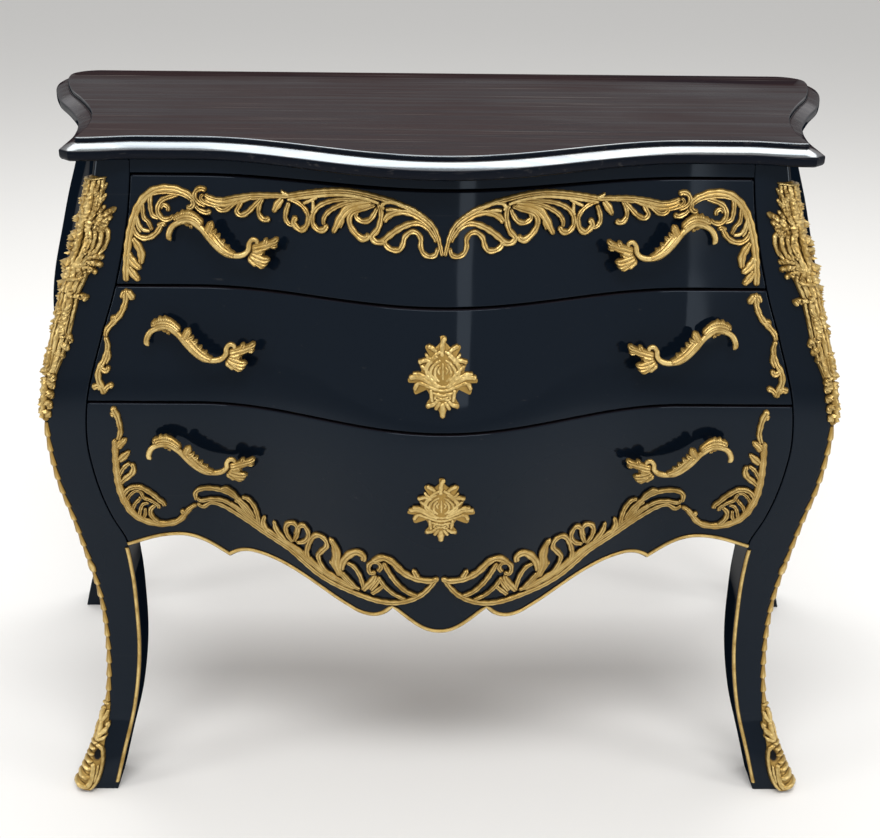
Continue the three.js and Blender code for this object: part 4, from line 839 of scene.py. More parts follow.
lowerScroll = {"size": 99, "widen": 1.18, "outer": 394, "bottom": 375, "strokes": [
    ([(.095, 1.33), (.085, 1.15), (.075, .95), (.075, .75), (.09, .58), (.13, .42), (.2, .27), (.3, .175),
      (.42, .12), (.56, .1), (.7, .125), (.79, .185), (.85, .265), (.92, .35), (1, .405)], (.05, .09, .03)),
    ([(.13, 1.3), (.17, 1.42), (.17, 1.5), (.15, 1.62), (.115, 1.7), (.1, 1.745)], (.06, .06, .08)),
    ([(.14, 1.64), (.09, 1.65), (.06, 1.65)], (.06, .07, .08)),
    ([(.1, 1.2), (.17, 1.28), (.24, 1.34)], (.07, .09, .02)),
    ([(.1, 1.02), (.19, 1.1), (.26, 1.17)], (.07, .08, .02)),
    ([(.09, .7), (.17, .78), (.25, .85), (.28, .93), (.26, 1)], (.04, .07, .04)),
    ([(.09, .8), (.14, .9), (.2, .97), (.25, 1)], (.05, .05, .05)),
    ([(.1, .5), (.16, .6), (.24, .65), (.33, .65), (.41, .6), (.48, .54), (.54, .47), (.59, .42), (.6, .36)],
     (.05, .06, .05)),
    ([(.13, .42), (.19, .53), (.27, .6), (.33, .58), (.36, .5), (.42, .47), (.48, .43), (.53, .38),
      (.52, .33)], (.04, .045, .05)),
    ([(.2, .3), (.24, .4), (.3, .47), (.33, .52)], (.04, .045, .04)),
    ([(.27, .2), (.3, .32), (.34, .4), (.42, .43)], (.05, .045, .04)),
    ([(.5, .4), (.43, .33), (.42, .25), (.46, .17), (.54, .1)], (.05, .055, .05)),
    ([(.84, .24), (.83, .28), (.78, .3)], (.05, .07, .08)),
    ([(.31, .17), (.35, .25), (.36, .35)], (.05, .045, .04)),
]}
tracery("lowerScroll", lowerScroll, "drawer_3", "drawer_3_corner_scroll")

lowerSpray = {"size": 298, "widen": 1.22, "outer": 298, "bottom": 304, "strokes": [
    ([(.011, .379), (.035, .362), (.071, .383), (.116, .369), (.168, .336), (.228, .294), (.275, .26),
      (.328, .228), (.388, .192), (.44, .148), (.5, .102), (.569, .07), (.631, .053), (.692, .039),
      (.753, .03), (.815, .034), (.876, .055), (.925, .088), (.956, .125), (.978, .16), (.994, .178)],
     (.014, .022, .015)),
    ([(.142, .389), (.21, .341), (.277, .286), (.35, .24), (.41, .206), (.47, .164), (.531, .121),
      (.612, .09), (.681, .07)], (.014, .019, .014)),
    ([(.44, .202), (.477, .152), (.53, .103)], (.012, .016, .013)),
    ([(.502, .17), (.543, .122), (.592, .085)], (.013, .016, .013)),
    ([(.553, .183), (.592, .134), (.64, .088)], (.013, .016, .013)),
    ([(.011, .39), (.008, .425), (.028, .446), (.072, .452), (.121, .443), (.166, .42), (.213, .38),
      (.246, .32)], (.015, .019, .015)),
    ([(.11, .446), (.135, .455), (.163, .436), (.186, .398), (.206, .352)], (.013, .018, .014)),
    ([(.011, .405), (.03, .391), (.07, .399), (.12, .395), (.17, .363), (.23, .31), (.28, .27)],
     (.014, .018, .014)),
    ([(.33, .248), (.4, .212), (.46, .166), (.53, .12), (.6, .09), (.66, .07)], (.014, .03, .018)),
    ([(.195, .42), (.223, .413), (.246, .382), (.257, .338), (.262, .29)], (.014, .019, .015)),
    ([(.164, .402), (.193, .383), (.222, .335), (.24, .298)], (.012, .016, .014)),
    ([(.289, .342), (.279, .3), (.302, .25)], (.008, .023, .022)),
    ([(.325, .325), (.336, .278), (.372, .23)], (.008, .023, .022)),
    ([(.405, .232), (.381, .264), (.374, .3), (.387, .326), (.412, .332), (.424, .308), (.411, .272)],
     (.016, .019, .015)),
    ([(.405, .236), (.421, .28), (.428, .316), (.449, .333), (.466, .312), (.467, .277), (.445, .248),
      (.412, .235)], (.015, .019, .015)),
    ([(.474, .152), (.459, .19), (.465, .232), (.484, .28), (.509, .301), (.537, .288), (.544, .256),
      (.522, .223), (.506, .194), (.517, .155), (.542, .12)], (.017, .02, .015)),
    ([(.557, .302), (.577, .265), (.583, .22), (.58, .172), (.602, .11)], (.01, .034, .024)),
    ([(.6, .145), (.611, .198), (.641, .242), (.67, .259), (.694, .245), (.69, .214)], (.018, .027, .02)),
    ([(.622, .196), (.655, .18), (.679, .138), (.692, .08)], (.015, .019, .015)),
    ([(.602, .142), (.632, .108), (.666, .072)], (.015, .017, .014)),
    ([(.745, .178), (.72, .168), (.714, .2), (.73, .225), (.75, .229), (.765, .209), (.75, .178)],
     (.016, .018, .016)),
    ([(.742, .163), (.729, .13), (.708, .1), (.686, .066)], (.017, .024, .018)),
    ([(.76, .152), (.741, .116), (.717, .075)], (.017, .02, .016)),
    ([(.775, .117), (.748, .086), (.722, .058)], (.016, .018, .015)),
    ([(.728, .222), (.752, .246), (.778, .256), (.81, .241), (.846, .201), (.885, .177), (.925, .165),
      (.965, .163), (.994, .178)], (.02, .027, .014)),
    ([(.912, .172), (.9, .198), (.892, .216)], (.024, .021, .012)),
    ([(.774, .235), (.795, .188), (.827, .138), (.869, .098), (.917, .08)], (.019, .02, .013)),
    ([(.75, .156), (.781, .109), (.82, .076), (.868, .057)], (.018, .017, .013)),
]}
tracery("lowerSpray", lowerSpray, "drawer_3", "drawer_3_leaf_spray")

print("beads")
beadForm = {"width": 5, "height": 2.5, "inset": 0.5, "round": 10, "legTop": 347, "legBottom": 10}


# Half-round bead along a flat path: across by the cosine of its turn, up by the sine
def beadGrid(path, normals, place):
    turn = fullTurn(beadForm["round"])[None, :]
    across = np.cos(turn) * beadForm["width"] / 2
    lift = np.clip(np.sin(turn), -0.25, 1) * beadForm["height"] + np.zeros((len(path), 1))
    flat = path[:, None] + normals[:, None] * across[..., None]
    # The level for the painted light rises with the bead's height, so its foot gets painted shade
    return place(flat[..., 0], flat[..., 1], lift), np.clip(lift / beadForm["height"], 0, 1) * 0.6 + 0.4


edge = apronEdge(16)
slope = np.gradient(edge, axis=0)
slope /= np.linalg.norm(slope, axis=1, keepdims=True)
upward = np.stack([-slope[:, 1], slope[:, 0]], -1)
reach = beadForm["inset"] + beadForm["width"] / 2
apronBead = [beadGrid(edge + upward * reach, upward, onFront(0, 0))]
giltPiece("apronBead", apronBead, "drawer_3", "drawer_3_apron_bead", False)

legZ = np.linspace(beadForm["legBottom"], beadForm["legTop"], 80)
legPath = np.stack([innerX(legZ) + reach, legZ], -1)
legSide = np.tile([1.0, 0.0], (len(legZ), 1))


# Carries the bead's drawing onto the face of the leg
def onLegFront(x, z, lift):
    return np.stack([x, postFront(z) - mountForm["lift"] - lift, z], -1)


bothSides = ("right", "left")
giltPair("legBead", [beadGrid(legPath, legSide, onLegFront)], "carcass", "leg_bead", bothSides)

print("corner mounts")


# A place on the post's rounded corner, by its distance round it from the middle (to the front when positive)
def onCorner(rounding, z, lift):
    r = chest["cornerRadius"]
    quarter = r * np.pi / 4
    x, y = cornerX(z) - r, postFront(z) + r
    reach = r + mountForm["lift"] + lift
    angle = np.pi / 4 + np.clip(rounding, -quarter, quarter) / r
    toFront = np.maximum(rounding - quarter, 0)
    toSide = np.maximum(-quarter - rounding, 0)
    return np.stack([x + reach * np.cos(angle) - toFront, y - reach * np.sin(angle) + toSide, z], -1)


# Strokes of a mount: how many of them lie side by side, places round the corner and up, widths, height. The
# distances round the corner are those given, times even shares from -1 to 1. One alone is taken as given.
cornerMount = {
    "top": 806, "bottom": 527, "width": 60, "height": 5.6, "bark": 0.5, "lumps": 0.22, "rough": 0.38,
    "widths": smoothThrough([
        (0, 0.46), (0.057, 0.54), (0.14, 0.5), (0.22, 0.78), (0.3, 0.88), (0.355, 0.84), (0.395, 0.6),
        (0.45, 0.5), (0.535, 0.48), (0.6, 0.4), (0.65, 0.46), (0.7, 0.44), (0.74, 0.38), (0.78, 0.3),
        (0.83, 0.22), (0.9, 0.18), (0.96, 0.18), (1, 0.1)]),
    "heights": smoothThrough([(0, 0.8), (0.3, 1), (0.55, 0.85), (0.66, 1), (1, 0.8)]),
    "strokes": [
        (7, [(11, 766), (12, 778), (13, 792), (14, 804)], (4, 4.6, 4), 3.4),
        (4, [(9, 772), (9, 781), (11, 791)], (4.6, 5.4, 3), 5.2),
        (3, [(8, 784), (8, 792), (10, 801)], (4.6, 5.4, 3), 5.2),
        (2, [(12, 788), (15.5, 794), (18, 799)], (5, 5, 3.5), 4),
        (2, [(12, 776), (15.5, 782), (18.5, 787)], (6, 5.5, 3.5), 4.2),
        (2, [(12, 763), (15.5, 769), (19, 774)], (6, 6, 4), 4.4),
        (1, [(-17, 801), (0, 803), (17, 804.5)], (2.4, 2.4, 2.4), 6.5),
        (1, [(12, 758), (20, 763), (27, 768), (32, 771)], (7, 9, 5), 5.5),
        (1, [(12, 753), (21, 757), (29, 762)], (7, 8.5, 5), 5),
        (1, [(12, 748), (19, 751), (26, 755)], (7, 8, 5), 4.6),
        (5, [(11, 746), (13, 757), (16, 768)], (6, 7, 4), 5.6),
        (4, [(6, 756), (8, 766), (10, 778)], (5, 6, 3.5), 5),
        (9, [(14, 755), (27, 744), (27, 726), (13, 706)], (4.4, 5.8, 4), 3.8),
        (3, [(5, 752), (10, 738), (8, 722)], (4, 5, 3.5), 6.6),
        (2, [(4, 757), (12, 757), (20, 752), (25, 744)], (5, 6, 5), 5.6),
        (1, [(-4, 752), (-10, 757), (-16, 758)], (8, 11, 10), 10),
        (1, [(0, 742), (-8, 738), (-14, 731), (-14, 723)], (9, 13, 10), 10),
        (1, [(-1, 714), (-8, 708), (-14, 701), (-19, 697)], (10, 11, 7), 9),
        (1, [(-2, 734), (-9, 724), (-14, 714)], (7, 9, 6), 9),
        (1, [(-6, 772), (-11, 777), (-14, 784)], (6, 7, 5), 9),
        (1, [(-4, 690), (-10, 684), (-14, 676)], (7, 9, 6), 9.5),
        (1, [(10, 718), (22, 719), (31, 716)], (7, 7, 5), 5.2),
        (1, [(10, 713), (22, 712), (32, 707)], (7, 7, 5), 5.4),
        (1, [(9, 708), (19, 705), (28, 699)], (7, 7, 5), 5),
        (1, [(5, 726), (14, 722), (21, 727)], (6, 7, 5), 5.2),
        (6, [(9, 714), (15, 698), (11, 676)], (5.5, 6.5, 5), 3.8),
        (1, [(-17, 701), (0, 694), (17, 698)], (4.5, 5, 4.5), 7.5),
        (3, [(6, 708), (10, 700), (13, 692)], (5, 6, 4), 7.4),
        (1, [(6, 677), (15, 675), (21, 673), (25, 670)], (8, 6.5, 13), 6),
        (6, [(12, 680), (12, 652), (11.5, 622), (6, 586)], (3.8, 4.8, 3.2), 3.4),
        (2, [(4, 686), (6.5, 670), (4, 650)], (4, 4.8, 3), 7.4),
        (3, [(8, 664), (6, 655), (5, 642)], (4, 5, 3), 6.8),
        (2, [(3, 650), (5, 640), (7, 628)], (4, 5, 3), 7),
        (1, [(6, 634), (13, 629), (18, 621)], (6, 6.5, 4.5), 5.2),
        (1, [(5, 624), (12, 619), (16, 612)], (6, 6.5, 4.5), 5.2),
        (1, [(4, 614), (10, 609), (13, 603)], (6, 6, 4), 5),
        *((1, [(-6, z), (-12, z - 4), (-16, z - 11)], (5, 5.5, 3.5), 4.6) for z in (672, 658, 644)),
        (1, [(-6, 630), (-11, 626), (-15, 619)], (5, 5.5, 3.5), 4.6),
        (3, [(7, 618), (6, 600), (4, 582)], (4, 4.6, 3), 6.4),
        (1, [(0, 592), (-5, 588), (-9, 584)], (6, 7, 9), 6),
        (1, [(2, 590), (5, 584), (8, 577)], (6, 6, 4), 5.5),
        (2, [(1, 580), (5, 576), (8, 568)], (5, 5.5, 3.5), 5),
        (2, [(1, 568), (5, 564), (8, 556)], (5, 5.5, 3.5), 5),
        (2, [(1, 556), (4.5, 552), (7.5, 544)], (5, 5.5, 3.5), 4.6),
        (2, [(1, 545), (4, 541), (6, 533)], (4, 5, 3), 4.4),
        (1, [(0, 584), (1, 560), (0, 531)], (5, 5.5, 3.5), 6.2),
    ],
}
sabot = {
    "top": 113.7, "bottom": 2, "width": 38, "height": 19, "bark": 0.12, "lumps": 0.05, "rough": 0.15,
    "hole": (6.5, 47, 4.6, 7.6),
    "widths": smoothThrough([
        (0, 0.5), (0.05, 0.75), (0.12, 0.9), (0.25, 0.92), (0.35, 0.84), (0.45, 0.62), (0.55, 0.5),
        (0.66, 0.5), (0.76, 0.4), (0.88, 0.33), (1, 0.26)]),
    "heights": smoothThrough([
        (0, 0.5), (0.04, 0.66), (0.09, 0.68), (0.16, 0.56), (0.25, 0.4), (0.35, 0.3), (0.45, 0.25),
        (0.55, 0.23), (0.7, 0.24), (0.85, 0.2), (1, 0.16)]),
    "strokes": [
        (1, [(-14, 57), (-5, 60), (3, 61)], (4.6, 5, 4), 4.2),
        (1, [(-15, 50), (-5, 53), (3, 54)], (4.6, 5.2, 4), 4.4),
        (1, [(-16, 43), (-5, 46), (3, 46)], (4.8, 5.4, 4), 4.6),
        (1, [(-17, 35.5), (-5, 38.5), (4, 38)], (5, 5.8, 4), 4.8),
        (1, [(-18, 27), (-5, 30.5), (5, 29.5)], (5.4, 6.4, 4), 5),
        (1, [(-18, 18), (-5, 21.5), (6, 20)], (5.8, 7, 4.4), 5.2),
        (1, [(-17, 8), (-5, 11.5), (6, 9)], (6.4, 8, 5), 5.4),
        (1, [(2, 61), (9, 54), (13.5, 42), (15, 28), (13, 15), (7, 5)], (4, 5, 5), 3.6),
        (1, [(4, 37), (6, 27), (6.5, 16), (4, 6)], (3.5, 4.5, 4), 2.8),
        (1, [(9.5, 35), (10.5, 25), (10, 14)], (3.5, 4.2, 3.5), 2.8),
        (1, [(-3, 62), (-4, 74), (-3, 88)], (5, 6, 4), 3.2),
        (1, [(1, 62), (1.5, 76), (1, 90)], (5, 6, 4), 3.6),
        (1, [(1, 68), (5, 76), (8.5, 83), (6, 88)], (5, 6, 5), 4.6),
        (1, [(1, 64), (6, 68), (11, 71)], (5, 5, 4.6), 4.6),
        (1, [(-3, 70), (-7, 78), (-9, 86)], (5, 5, 3.5), 3.6),
        (1, [(0, 86), (-1, 97), (0, 108)], (6, 7, 5), 3.2),
        (2, [(1, 88), (4, 96), (5, 104)], (4, 4.6, 3), 3.2),
        (1, [(-5, 111), (0, 112), (5, 111)], (3, 3.6, 3), 2.8),
    ],
}


# Half-width and height of a mount's skin at a height, and how far down the mount that is. The sabot's tables
# are read from the foot up.
def halfWidth(form, z):
    run = (z - form["top"]) / (form["bottom"] - form["top"])
    share = run if form is cornerMount else 1 - run
    return form["width"] / 2 * form["widths"](share), form["height"] * form["heights"](share), run


barkForm = {
    "ends": 0.012, "crown": 0.62, "steep": (0.55, 5), "slow": (0.23, -9), "holeDepth": 0.6,
    "upWave": (0.95, 2.2, 0.35), "roundWave": (0.8, 1.8, 0.3), "carried": 0.85, "carriedEnds": 60,
}


# Crowned skin round the corner: a flattened crown whose width and height follow the run, with bark-like
# carving made of two slanting sets of ripples and, where the form has one, a hole by a steep bell
def cornerSkin(form, steps):
    z = np.linspace(form["top"], form["bottom"], steps)[:, None]
    half, height, run = halfWidth(form, z)
    turn = fullTurn(64)[None, :]
    ends = np.sqrt(np.clip(np.minimum(run, 1 - run) / barkForm["ends"], 0.02, 1))
    across = np.cos(turn) * half * ends
    crown = np.clip(np.sin(turn), 0, 1) ** barkForm["crown"]
    waves = (barkForm["steep"], barkForm["slow"])
    steep, slow = (np.sin(z * rise + bend * np.cos(turn)) for rise, bend in waves)
    ripple = 0.5 + 0.5 * steep * slow
    carved = 1 - form["bark"] * ripple
    # The level for the painted light: lower in the carving and towards the edges, which get painted shade,
    # and below nought in the hole, which is painted near black
    paintedLightLevel = 0.1 + 0.5 * carved * crown ** 0.3
    if "hole" in form:
        x, middle, wide, tall = form["hole"]
        inHole = np.exp(-(((across - x) / wide) ** 2 + ((z - middle) / tall) ** 2) ** 3)
        carved = carved * (1 - barkForm["holeDepth"] * inHole)
        paintedLightLevel = paintedLightLevel - 2 * inHole
    lift = height * crown * carved * ends - sunk(turn)
    return onCorner(across, z + np.zeros_like(across), lift), paintedLightLevel


# Sine of one place whose phase swings with the sine of the other
def bentSine(along, across, pace, swing, swingPace):
    return np.sin(pace * along + swing * np.sin(swingPace * across))


# The skin first, then each stroke, laid on the skin and roughened by the product of two bent sines
def cornerGrids(form, steps):
    def onSkin(rounding, z, lift):
        half, height, run = halfWidth(form, z)
        crown = np.clip(1 - (rounding / half) ** 2, 0, 1) ** (barkForm["crown"] / 2)
        rough = bentSine(z, rounding, *barkForm["upWave"]) * bentSine(rounding, z, *barkForm["roundWave"])
        stood = lift * (1 + form["rough"] * rough * (lift > 0))
        ends = np.clip(np.minimum(run, 1 - run) * barkForm["carriedEnds"], 0, 1)
        return onCorner(rounding, z, stood + barkForm["carried"] * height * crown * ends)

    grids = [cornerSkin(form, steps)]
    for copies, places, widths, height in form["strokes"]:
        for share in (np.linspace(-1, 1, copies) if copies > 1 else [1.0]):
            stroke = [(x * share, z) for x, z in places], widths
            lumps = form["lumps"] * (copies < 4)
            grids.append(strokeGrid(stroke, 1.0, onSkin, height, 1.0, 1, 18, lumps))
    return grids


giltPair("cornerMount", cornerGrids(cornerMount, 300), "carcass", "corner_mount", bothSides)
giltPair("sabot", cornerGrids(sabot, 260), "carcass", "sabot", bothSides)

stripForm = {
    "top": 526.7, "bottom": 114, "halfWidth": 4.7, "height": 3.9, "pitch": 20, "knot": 318, "knotReach": 7,
    "rise": 0.84, "fall": 0.16,
}


# Leaf strip: each leaf widens evenly from its root and drops at its tip, like a sawtooth
def edgeStrip():
    z = np.linspace(stripForm["top"], stripForm["bottom"], 760)[:, None]
    leaf = ((stripForm["top"] - z) / stripForm["pitch"]) % 1
    swell = np.minimum(leaf / stripForm["rise"], (1 - leaf) / stripForm["fall"])
    knot = np.exp(-((z - stripForm["knot"]) / stripForm["knotReach"]) ** 2)
    half = stripForm["halfWidth"] * (0.55 + 0.5 * swell + 0.5 * knot)
    turn = fullTurn(20)[None, :]
    vein = 1 - 0.3 * np.exp(-(np.cos(turn) / 0.2) ** 2)
    lift = stripForm["height"] * (0.55 + 0.4 * swell + 0.3 * knot) * np.clip(np.sin(turn), 0, 1) ** 0.8 * vein
    lift = lift - sunk(turn)
    across = np.cos(turn) * half
    # The level for the painted light rises with the leaf's height: painted shade low down, painted highlight
    # on top
    return onCorner(across, z + np.zeros_like(across), lift), np.clip(lift / stripForm["height"] + 0.15, 0, 1)


giltPair("edgeStrip", [edgeStrip()], "carcass", "edge_strip", bothSides)

print("escutcheons")
escutcheon = {
    "height": 88, "edge": 1.6, "dome": 3.8, "drawer_2": 571, "drawer_3": 412, "ridge": 2.4, "rough": 0.2,
    "heart": 0.47, "rings": 24, "domeShape": 2.2, "seat": 1.9, "ripple": (0.9, 0.8),
    "half": [
        (0, 1), (.035, .985), (.03, .93), (.06, .89), (.1, .862), (.16, .877), (.205, .885), (.222, .85),
        (.17, .8), (.15, .79), (.17, .74), (.2, .7), (.25, .68), (.285, .67), (.29, .64), (.275, .6),
        (.27, .57), (.31, .53), (.38, .5), (.43, .475), (.438, .44), (.42, .425), (.36, .43), (.352, .4),
        (.366, .33), (.34, .287), (.32, .35), (.26, .375), (.2, .345), (.168, .29), (.168, .24), (.2, .19),
        (.212, .145), (.18, .118), (.1, .155), (.06, .11), (.02, .04), (0, .005)],
    "pairs": [
        ([(.07, .802), (.128, .849), (.198, .883)], (.058, .053, .07)),
        ([(.116, .674), (.209, .709), (.314, .674)], (.051, .051, .07)),
        ([(.035, .383), (.151, .43), (.291, .5), (.43, .488)], (.047, .058, .07)),
        ([(.047, .348), (.174, .395), (.302, .43), (.361, .337)], (.042, .047, .058)),
        ([(.058, .418), (.163, .476), (.279, .535), (.384, .535)], (.04, .051, .051)),
        ([(.07, .453), (.151, .535), (.221, .604), (.279, .651)], (.04, .047, .042)),
        ([(.151, .372), (.14, .279), (.128, .197)], (.047, .047, .042)),
        ([(.058, .232), (.128, .174), (.209, .162)], (.053, .053, .07)),
        ([(.035, .453), (.093, .511), (.093, .604), (.047, .674)], (.035, .044, .035)),
        ([(.081, .441), (.151, .5), (.151, .593), (.093, .674), (.023, .721)], (.035, .044, .035)),
        ([(.116, .465), (.198, .535), (.198, .616), (.14, .709), (.058, .767)], (.035, .044, .035)),
        ([(.012, .825), (.093, .779), (.163, .697), (.233, .604)], (.042, .047, .042)),
        ([(.035, .535), (.058, .593), (.023, .639)], (.03, .035, .028)),
        ([(0, .267), (.058, .232), (.093, .255)], (.035, .04, .04)),
        ([(.023, .221), (.07, .151), (.093, .104)], (.047, .051, .04)),
        ([(.035, .325), (.081, .29), (.105, .232)], (.035, .04, .035)),
        ([(.14, .721), (.186, .744), (.221, .79)], (.035, .04, .035)),
    ],
    "middle": [
        ([(-.012, .744), (-.012, .837), (0, .93), (.035, .988)], (.058, .063, .058)),
        ([(-.163, .383), (0, .348), (.163, .383)], (.033, .037, .033)),
        ([(-.14, .325), (0, .29), (.14, .325)], (.033, .037, .033)),
        ([(0, .209), (0, .104), (0, 0)], (.07, .081, .042)),
        ([(0, .47), (0, .581), (0, .69)], (.028, .035, .02)),
        ([(-.081, .279), (0, .244), (.081, .279)], (.03, .035, .03)),
        ([(-.105, .43), (0, .395), (.105, .43)], (.033, .037, .033)),
        ([(0, .186), (0, .139), (0, .069)], (.035, .035, .028)),
    ],
}


# Plate: rings of the outline drawn in towards a point on its axis, under a low dome. The leaves, collars and
# buds of the casting are strokes laid on it, most of them in mirrored pairs.
def escutcheonGrids(bottom):
    half = np.array(escutcheon["half"])
    outline = np.concatenate([half, half[-2:0:-1] * [-1, 1]])
    closed = smoothPath(np.concatenate([outline, outline[:1]]), 4)[:-1]
    heart = np.array([0, escutcheon["heart"]])
    scale = np.concatenate([[1.0, 1.0], np.linspace(1, 0.02, escutcheon["rings"])])[:, None]
    flat = heart + (closed - heart)[None] * scale[..., None]
    dome = np.sqrt(np.clip(1 - scale ** escutcheon["domeShape"], 0, 1)) * np.ones_like(flat[..., 0])
    lift = escutcheon["edge"] + (escutcheon["dome"] - escutcheon["edge"]) * dome
    lift[0] = -mountForm["sink"]
    size = escutcheon["height"]
    place = onFront(0, bottom)
    across, upward = escutcheon["ripple"]

    def onPlate(x, z, up):
        rough = 1 + escutcheon["rough"] * np.sin(across * x) * np.sin(upward * z)
        return place(x, z, np.where(up > 0, up * rough + escutcheon["seat"], up))

    grids = [(place(flat[..., 0] * size, flat[..., 1] * size, lift), 0.6 + 0.08 * dome)]
    strokes = escutcheon["middle"] + escutcheon["pairs"]
    strokes += [([(-x, z) for x, z in places], widths) for places, widths in escutcheon["pairs"]]
    return grids + [strokeGrid(stroke, size, onPlate, escutcheon["ridge"], 1.1, 1, 20) for stroke in strokes]


for body in ("drawer_2", "drawer_3"):
    giltPiece(f"escutcheon.{body}", escutcheonGrids(escutcheon[body]), body, f"{body}_escutcheon", False)

print("handles")
# Each drawer's entry is the handle's outer end and its lower edge. Places are in shares of the handle's
# length: the stem's with a share of its radius, the leaves' as for the mounts.
handleForm = {
    "length": 132, "radius": 4.2, "standoff": 13, "reach": 26,
    "leafHeight": 4.6, "leafRise": 1.3, "leafSink": 1.2, "footRadius": 4.2, "footSteps": 14,
    "around": 18, "stemSteps": 8, "taper": 5, "twist": 0.05,
    "drawer_1": (311, 712), "drawer_2": (339, 596), "drawer_3": (344, 458),
    "feet": ((0.17, 0.36), (0.8, 0.14)),
    "stem": [
        (.018, .2, .85), (0, .243, .85), (.028, .31, .8), (.085, .352, .9), (.155, .374, 1), (.22, .366, 1),
        (.29, .322, 1), (.36, .252, 1), (.435, .178, 1), (.515, .132, .95), (.595, .117, .85),
        (.66, .13, .8), (.7, .168, .8), (.706, .215, .75), (.733, .248, .7), (.768, .238, .7),
        (.772, .2, .6), (.745, .186, .5)],
    "leaves": [
        ([(.05, .365), (.1, .4), (.17, .415), (.24, .4), (.31, .345)], (.06, .09, .05)),
        ([(.07, .35), (.11, .38), (.18, .395), (.25, .375), (.3, .33)], (.05, .08, .05)),
        ([(.085, .375), (.06, .395), (.045, .405)], (.05, .06, .05)),
        ([(.1, .39), (.085, .415), (.075, .437)], (.055, .06, .045)),
        ([(.135, .4), (.13, .435), (.122, .463)], (.06, .065, .05)),
        ([(.17, .41), (.175, .44), (.17, .47)], (.06, .065, .05)),
        ([(.205, .4), (.215, .432), (.222, .455)], (.06, .06, .045)),
        ([(.24, .39), (.258, .415), (.268, .43)], (.055, .06, .045)),
        ([(.27, .37), (.29, .39), (.305, .398)], (.05, .055, .04)),
        ([(.335, .27), (.36, .325), (.392, .388)], (.06, .085, .03)),
        ([(.37, .285), (.405, .305), (.425, .325)], (.06, .055, .025)),
        ([(.335, .31), (.39, .26), (.455, .195), (.53, .145), (.6, .118)], (.07, .09, .035)),
        ([(.375, .31), (.415, .262), (.47, .205), (.53, .155)], (.05, .06, .025)),
        ([(.405, .26), (.44, .275), (.458, .292)], (.055, .05, .025)),
        ([(.445, .215), (.478, .228), (.497, .245)], (.05, .045, .025)),
        ([(.49, .175), (.522, .187), (.54, .202)], (.045, .04, .025)),
        ([(.19, .35), (.2, .33), (.196, .308)], (.05, .045, .03)),
        ([(.72, .175), (.79, .19), (.87, .213), (.95, .243)], (.09, .075, .075)),
        ([(.835, .2), (.848, .24), (.858, .266)], (.05, .055, .045)),
        ([(.895, .225), (.93, .25), (.957, .272)], (.055, .055, .045)),
        ([(.88, .205), (.92, .205), (.948, .203)], (.055, .055, .045)),
        ([(.72, .15), (.77, .155), (.815, .165), (.845, .16)], (.08, .1, .06)),
        ([(.71, .14), (.76, .11), (.82, .09), (.885, .092)], (.07, .075, .04)),
        ([(.7, .12), (.74, .08), (.785, .04)], (.07, .075, .055)),
        ([(.73, .11), (.785, .065), (.845, .032)], (.07, .08, .055)),
        ([(.75, .09), (.81, .065), (.865, .055)], (.06, .065, .045)),
    ],
}


# Round stem along a smooth path: at each step a circle across the path, its radius by the given shares
def stemGrid(path, radius):
    tangent = np.gradient(path, axis=0)
    tangent /= np.linalg.norm(tangent, axis=1, keepdims=True)
    forward = np.array([0.0, -1.0, 0.0])
    sideways = np.cross(tangent, forward)
    sideways /= np.linalg.norm(sideways, axis=1, keepdims=True)
    upright = np.cross(sideways, tangent)
    turn = fullTurn(handleForm["around"])[None, :, None]
    ring = np.cos(turn) * sideways[:, None] + np.sin(turn) * upright[:, None]
    # Level for the painted light by side: high on the side facing out from the front, low on the side towards
    # the drawer, so the gilt paints a highlight in front and shade behind
    paintedLightLevel = 0.55 + 0.45 * np.clip(-ring[..., 1], -1, 1)
    return path[:, None] + ring * radius[:, None, None], paintedLightLevel


# The handle stands off the front by a squared sine of its run, so it is furthest out in the middle. It is the
# stem, the leaves laid over it, and two turned feet whose radius follows a squared cosine.
def handleGrids(outer, bottom):
    length, steps = handleForm["length"], handleForm["footSteps"]

    def standoff(x):
        bow = np.sin(np.pi * np.clip((x + outer) / length, 0, 1)) ** 2
        return handleForm["standoff"] + (handleForm["reach"] - handleForm["standoff"]) * bow

    def raised(x, z, lift):
        px, pz = x - outer, z + bottom
        return np.stack([px, frontY(px, pz) - standoff(px) - lift, pz], -1)

    def leafPlace(x, z, lift):
        return raised(x, z, lift * handleForm["leafRise"] - handleForm["leafSink"])

    stem = smoothPath(handleForm["stem"], handleForm["stemSteps"])
    count = np.arange(len(stem))
    ends = np.sqrt(np.clip(np.minimum(count, count[::-1]) / handleForm["taper"], 0.05, 1))
    radius = handleForm["radius"] * stem[:, 2] * ends
    twist = 1 + handleForm["twist"] * np.cos(np.linspace(0, 60, len(stem)))
    grids = [stemGrid(raised(stem[:, 0] * length, stem[:, 1] * length, 0), radius * twist)]
    grids += [strokeGrid(leaf, length, leafPlace, handleForm["leafHeight"]) for leaf in handleForm["leaves"]]
    for share, height in handleForm["feet"]:
        x, z = share * length - outer, height * length + bottom
        surface = frontY(x, z)
        deep = np.linspace(surface + mountForm["sink"], surface - standoff(x), steps)
        waist = 0.7 + 0.45 * np.cos(np.linspace(0, 2 * np.pi, steps)) ** 2
        path = np.stack([np.full(steps, x), deep, np.full(steps, z)], -1)
        turn = fullTurn(handleForm["around"])
        circle = np.stack([np.cos(turn), np.zeros_like(turn), np.sin(turn)], -1)
        post = path[:, None] + circle[None] * (handleForm["footRadius"] * waist)[:, None, None]
        grids.append((post, np.full(post.shape[:2], 0.5)))
    return grids


for body in ("drawer_1", "drawer_2", "drawer_3"):
    giltPair(f"handle.{body}", handleGrids(*handleForm[body]), body, f"{body}_handle", ("left", "right"))

